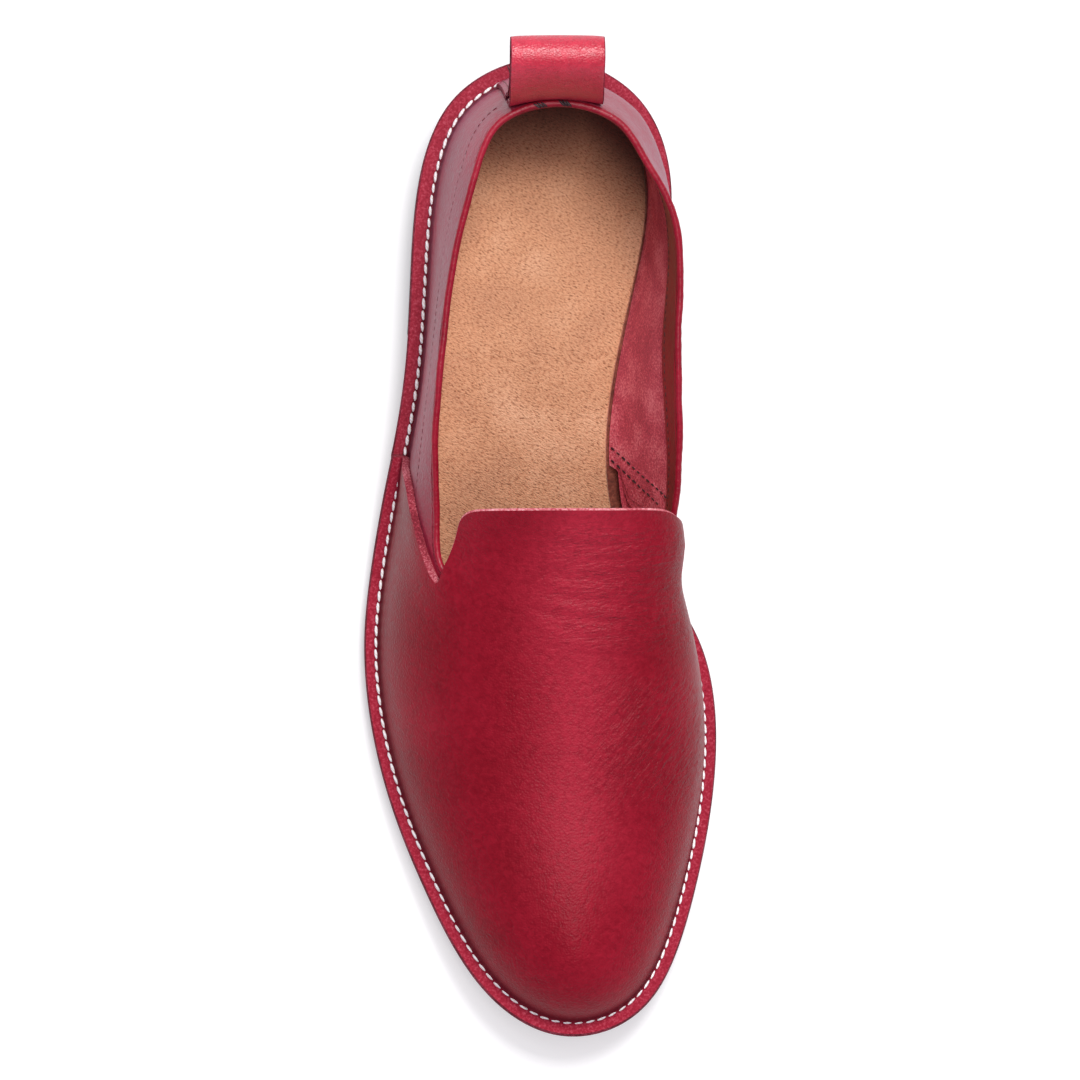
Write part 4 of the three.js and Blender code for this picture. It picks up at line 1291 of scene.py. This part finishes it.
def stitch_tree():
    """Geometry nodes that lay a stitch on every seat, turned along its seam."""
    tree = bpy.data.node_groups.new("thread_stitches", "GeometryNodeTree")
    face = tree.interface
    face.new_socket("Seats", in_out="INPUT", socket_type="NodeSocketGeometry")
    for name in ("Length", "Width", "Height", "Slant", "Spread"):
        face.new_socket(name, in_out="INPUT", socket_type="NodeSocketFloat")
    face.new_socket("Seed", in_out="INPUT", socket_type="NodeSocketInt")
    face.new_socket("Thread", in_out="INPUT", socket_type="NodeSocketMaterial")
    face.new_socket("Stitches", in_out="OUTPUT", socket_type="NodeSocketGeometry")
    given = add_node(tree, "NodeGroupInput").outputs
    ball = add_node(tree, "GeometryNodeMeshUVSphere", None, {"Segments": 8, "Rings": 8, "Radius": 0.5})
    size = add_node(tree, "ShaderNodeCombineXYZ", None, {"X": given["Length"], "Y": given["Width"],
                                                         "Z": given["Height"]})
    twist = add_node(tree, "ShaderNodeCombineXYZ", None, {"Z": given["Slant"]})
    # the ball's poles are turned to the ends of the stitch
    laid = add_node(tree, "GeometryNodeTransform", None,
                    {"Geometry": ball.outputs["Mesh"], "Rotation": (0.0, math.pi / 2, 0.0)})
    shaped = add_node(tree, "GeometryNodeTransform", None,
                      {"Geometry": laid.outputs["Geometry"], "Scale": size.outputs["Vector"]})
    slanted = add_node(tree, "GeometryNodeTransform", None,
                       {"Geometry": shaped.outputs["Geometry"], "Rotation": twist.outputs["Vector"]})
    vector_mark = {"data_type": "FLOAT_VECTOR"}
    along = add_node(tree, "GeometryNodeInputNamedAttribute", vector_mark, {"Name": "along"})
    up = add_node(tree, "GeometryNodeInputNamedAttribute", vector_mark, {"Name": "up"})
    first = add_node(tree, "FunctionNodeAlignRotationToVector", {"axis": "X"},
                     {"Vector": along.outputs["Attribute"]})
    turned = add_node(tree, "FunctionNodeAlignRotationToVector", {"axis": "Z", "pivot_axis": "X"},
                      {"Rotation": first.outputs["Rotation"], "Vector": up.outputs["Attribute"]})
    least = add_node(tree, "ShaderNodeMath", {"operation": "SUBTRACT"}, {0: 1.0, 1: given["Spread"]})
    most = add_node(tree, "ShaderNodeMath", {"operation": "ADD"}, {0: 1.0, 1: given["Spread"]})
    chance = add_node(tree, "FunctionNodeRandomValue", {"data_type": "FLOAT"},
                      {2: least.outputs["Value"], 3: most.outputs["Value"], "Seed": given["Seed"]})
    sown = add_node(tree, "GeometryNodeInstanceOnPoints", None,
                    {"Points": given["Seats"], "Instance": slanted.outputs["Geometry"],
                     "Rotation": turned.outputs["Rotation"], "Scale": chance.outputs[1]})
    real = add_node(tree, "GeometryNodeRealizeInstances", None, {"Geometry": sown.outputs["Instances"]})
    smooth = add_node(tree, "GeometryNodeSetShadeSmooth", None, {"Geometry": real.outputs["Geometry"]})
    dressed = add_node(tree, "GeometryNodeSetMaterial", None,
                       {"Geometry": smooth.outputs["Geometry"], "Material": given["Thread"]})
    add_node(tree, "NodeGroupOutput", None, {"Stitches": dressed.outputs["Geometry"]})
    return tree


stitches = stitch_tree()
stitch_inputs = {item.name: item.identifier for item in stitches.interface.items_tree
                 if item.in_out == "INPUT"}


def stitch_row(name, spots, along, up, thread, size, seed, spread=0.08, slant=0.0):
    """A row of stitches: spots in millimetres in the frame, with their directions."""
    mesh = bpy.data.meshes.new(name + "_seats")
    mesh.from_pydata((np.asarray(spots) * MM).tolist(), [], [])
    for mark, values in (("along", along), ("up", up)):
        attribute = mesh.attributes.new(mark, "FLOAT_VECTOR", "POINT")
        attribute.data.foreach_set("vector", np.asarray(values, np.float32).reshape(-1))
    seats = bpy.data.objects.new(name + "_seats", mesh)
    bpy.context.scene.collection.objects.link(seats)
    modifier = seats.modifiers.new("stitches", "NODES")
    modifier.node_group = stitches
    length, width, height = size
    chosen = {"Length": length * MM, "Width": width * MM, "Height": height * MM, "Slant": slant,
              "Spread": spread, "Seed": seed, "Thread": thread}
    for socket, value in chosen.items():
        modifier[stitch_inputs[socket]] = value
    bpy.context.view_layer.update()
    evaluated = seats.evaluated_get(bpy.context.evaluated_depsgraph_get())
    made = bpy.data.meshes.new_from_object(evaluated)
    made.name = name
    seats.modifiers.remove(modifier)
    bpy.data.objects.remove(seats)
    for mark in ("along", "up"):
        if mark in made.attributes:
            made.attributes.remove(made.attributes[mark])
    piece = bpy.data.objects.new(name, made)
    bpy.context.scene.collection.objects.link(piece)
    return piece


def spaced(line, normals, pitch, start=0.0):
    """Spots, directions and normals at an even pitch along a line."""
    index, _ = along_path(line, pitch, start)
    spots = sample(line, index)
    along = unit(sample(np.gradient(line, axis=0), index))
    return spots, along, unit(sample(normals, index))


def flange_line(turn_from, turn_to):
    """A line on top of the flange from one turn to another, at the white seam."""
    turn = np.linspace(turn_from, turn_to, 3000)
    spot = outline_point(turn, seam_line(turn))[0]
    at = -spot[:, 1] / shoe_length
    level = flange_top + vamp_step * smooth_step(vamp_edge[0][0] - 0.004, vamp_edge[0][0] + 0.004, at)
    line = place(np.column_stack([spot, level]))
    along = unit(np.gradient(line, axis=0))
    side = np.cross(along, (0.0, 0.0, 1.0))
    return line, unit(np.cross(side, along))


line, ups = flange_line(float(turn_at(flange_seam_start)), 2 - flange_seam_end_turn)
spots, along, up = spaced(line, ups, flange_pitch)
flange_seam = stitch_row("flange_seam", spots + up * flange_seam_lift, along, up, white_thread, flange_stitch,
                         4, slant=0.13)
# dark blobs sunk between the stitches: painted shade in the awl holes
spots, along, up = spaced(line, ups, flange_pitch, flange_pitch / 2)
flange_holes = stitch_row("flange_holes", spots - up * flange_hole_sink, along, up, awl_hole_shade, flange_hole,
                          5, 0.1)


def wall_line(turn_from, turn_to, grow, height_of, count=1500):
    """A line on the wall from one turn to another, at a height that follows the shoe."""
    turn = np.linspace(turn_from, turn_to, count)
    rise = rise_at_height(turn, grow, height_of)
    return wall_frame(turn, rise, grow)


collar_rows = []
for sign, name in ((1, "medial"), (-1, "lateral")):
    line, out = wall_line(sign * stay_turn, sign * float(turn_at(collar_seam_end)), 0.0,
                          lambda at: collar_height_at(at) - (facing_depth - collar_seam_rise))
    spots, along, up = spaced(line, out, seam_pitch)
    collar_rows.append(stitch_row("collar_seam_" + name, spots - up * collar_seam_sink, along, up,
                                  tonal_thread, seam_stitch, 7))
facing_turn = float(turn_at(facing_seam_end))
line, out = wall_line(-facing_turn, facing_turn, inside_grow,
                      lambda at: collar_height_at(at) - facing_reach(at) + facing_seam_rise, 3000)
spots, along, up = spaced(line, -out, seam_pitch)
facing_seam = stitch_row("facing_seam", spots, along, up, dark_thread, seam_stitch, 8)


def lining_line(rows):
    """A line on the lining's face, inner side, through rows of station and height share."""
    edge = smooth_edge(rows, 200)
    turn = turn_at(edge[:, 0])

    def edge_level(at):
        return edge_height(np.interp(at, edge[:, 0], edge[:, 1]))

    for _ in range(3):
        # the wall leans, so the turn at a station depends on the rise
        rise = rise_at_height(turn, inside_grow, edge_level)
        found = -skin_point(turn, rise, inside_grow)[:, 1] / shoe_length
        turn = turn_at(np.clip(station_at(turn) + edge[:, 0] - found, 0, 1))
    spot, normal = wall_frame(turn, rise, inside_grow)
    return spot, -normal


inner_rows = []
for k, rows in enumerate(lining_rows):
    line, ups = lining_line(rows)
    spots, along, up = spaced(line, ups, lining_pitch, lining_seam_margin)
    inner_rows.append(stitch_row("lining_seam_" + "ab"[k], spots, along, up, dark_thread, lining_stitch,
                                 9 + k, 0.1))

# The stay's stitched sides, and the tacks that hold the bead where the loop comes up behind it
stay_seams = []
for side, column in (("lateral", 5), ("medial", -6)):
    outer = loop_skins[:, stay_from:-4, column]
    line = outer[0] if outer[0, :, 1].mean() > outer[1, :, 1].mean() else outer[1]
    ups = np.tile((0.0, 1.0, 0.0), (len(line), 1))
    spots, along, up = spaced(line, ups, seam_pitch)
    stay_seams.append(stitch_row("stay_seam_" + side, spots, along, up, tonal_thread, stay_stitch, 12, 0.1))


def bead_tacks():
    """Three turns of thread over the bead at each of two places at the heel."""
    middle, _ = bead_line()
    along = unit(np.gradient(middle, axis=0))
    spots, directions = [], []
    for centre in tack_places:
        for step in tack_steps:
            k = int(np.abs(middle[:, 0] - shift_x - centre - step).argmin())
            over = unit(np.cross(along[k], (0.0, 0.0, 1.0)))
            spots.append(middle[k] + (0.0, 0.0, bead_radius * 0.85))
            directions.append(unit(over * 0.8 + along[k] * 0.9))
    ups = np.tile((0.0, 0.0, 1.0), (len(spots), 1))
    return stitch_row("bead_tacks", spots, directions, ups, dark_thread, tack_stitch, 14, 0.12)


tacks = bead_tacks()
# The flange is a strip whose ends meet beside the loop
joint_turns = np.full(len(joint_insets), 2 - flange_joint_turn)
joint_spots = outline_point(joint_turns, np.array(joint_insets))[0]
joint = place(np.column_stack([joint_spots, np.full(len(joint_insets), flange_top)]))
joint_along = np.tile(unit(joint[-1] - joint[0]), (len(joint), 1))
joint_up = np.tile((0.0, 0.0, 1.0), (len(joint), 1))
flange_joint = stitch_row("flange_joint", joint, joint_along, joint_up, dark_thread, joint_mark, 15, 0.1)


# Floor, light and camera

def stage_floor():
    size = 6.0
    mesh = bpy.data.meshes.new("floor")
    corners = [(-size, -size, 0), (size, -size, 0), (size, size, 0), (-size, size, 0)]
    mesh.from_pydata(corners, [], [(0, 1, 2, 3)])
    # a sheet of opal acrylic lit softly from below, so that shadows stay pale
    material, _, shader = new_material("opal_acrylic_light_table", 0.9, Specular_IOR_Level=0.1,
                                       Base_Color=linear("#C8C8C8"), Emission_Color=linear("#FFFFFF"),
                                       Emission_Strength=0.50)
    mesh.materials.append(material)
    floor = bpy.data.objects.new("floor", mesh)
    bpy.context.scene.collection.objects.link(floor)


def area_light(name, spot, aim, size, power, colour="#FFFFFF"):
    light = bpy.data.lights.new(name, "AREA")
    light.shape = "RECTANGLE"
    light.size, light.size_y = size
    light.energy = power
    light.color = linear(colour)[:3]
    holder = bpy.data.objects.new(name, light)
    holder.location = spot
    holder.rotation_euler = (Vector(aim) - Vector(spot)).to_track_quat("-Z", "Y").to_euler()
    bpy.context.scene.collection.objects.link(holder)
    return holder


def studio_world():
    """A bright line of wall at table height and a dim room above it, so that upright leather shines and flat
    leather stays deep."""
    world = bpy.data.worlds.new("studio")
    world.use_nodes = True
    tree = world.node_tree
    background = tree.nodes["Background"]
    direction = add_node(tree, "ShaderNodeTexCoord").outputs["Generated"]
    parts = add_node(tree, "ShaderNodeSeparateXYZ", None, {"Vector": direction})
    level = add_node(tree, "ShaderNodeMapRange", {"interpolation_type": "SMOOTHSTEP"},
                     {"Value": parts.outputs["Z"], "From Min": 0.05, "From Max": 0.40,
                      "To Min": 0.85, "To Max": 0.16})
    tree.links.new(level.outputs["Result"], background.inputs["Strength"])
    background.inputs["Color"].default_value = linear("#E8D8FF")
    bpy.context.scene.world = world


def photo_camera():
    """A long lens a little off the vertical, over the outer side, with the heel at the top of the picture."""
    distance = 14.0
    tilt = math.radians(4.0)
    aim_level = 8.0 * MM
    mm_per_pixel = 0.305
    picture_side = 1080 * mm_per_pixel * MM
    sensor_side = 36.0
    camera = bpy.data.cameras.new("camera")
    camera.sensor_width = sensor_side
    camera.lens = sensor_side * distance / picture_side
    camera.clip_end = 100.0
    holder = bpy.data.objects.new("camera", camera)
    bpy.context.scene.collection.objects.link(holder)
    # the picture's middle lies this many photo pixels from the plan's own origin, across and towards the toe
    pixels_across = -7.0
    pixels_forward = 480.0
    aim_x = (pixels_across * mm_per_pixel + shift_x) * MM
    aim_y = (shift_y - pixels_forward * mm_per_pixel) * MM
    back = Vector((-math.sin(tilt), 0.0, math.cos(tilt)))
    right = Vector((math.cos(tilt), 0.0, math.sin(tilt)))
    up = Vector((0.0, 1.0, 0.0))
    turn = Matrix((right, up, back)).transposed()
    spot = Vector((aim_x, aim_y, aim_level)) + back * distance
    holder.matrix_world = Matrix.Translation(spot) @ turn.to_4x4()
    bpy.context.scene.camera = holder


stage_floor()
studio_world()
area_light("soft_window", (0.22, 0.85, 1.80), (0, 0, 0), (0.6, 0.6), 34.0)
area_light("strip_over_the_ridge", (0.02, -0.10, 1.90), (0, 0, 0), (0.35, 1.40), 14.5)
photo_camera()
bpy.context.scene.view_settings.view_transform = "Standard"

stand_ins = [
    (vamp, "upper", "upper"), (quarter, "upper", "upper"), (lining, "upper", "upper"),
    (facing, "upper", "upper"), (bead, "collar_binding", "binding"), (loop, "pull_loop", "loop"),
    (insole, "insole", "insole"), (outsole, "outsole", "sole"), (heel, "heel", "heel"),
]
for piece, node, slot in stand_ins:
    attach(piece, "root")
    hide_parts(node)
for piece in [flange_seam, flange_holes, facing_seam, flange_joint] + collar_rows + inner_rows:
    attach(piece, "root")
for piece in stay_seams:
    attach(piece, "root")
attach(tacks, "root")
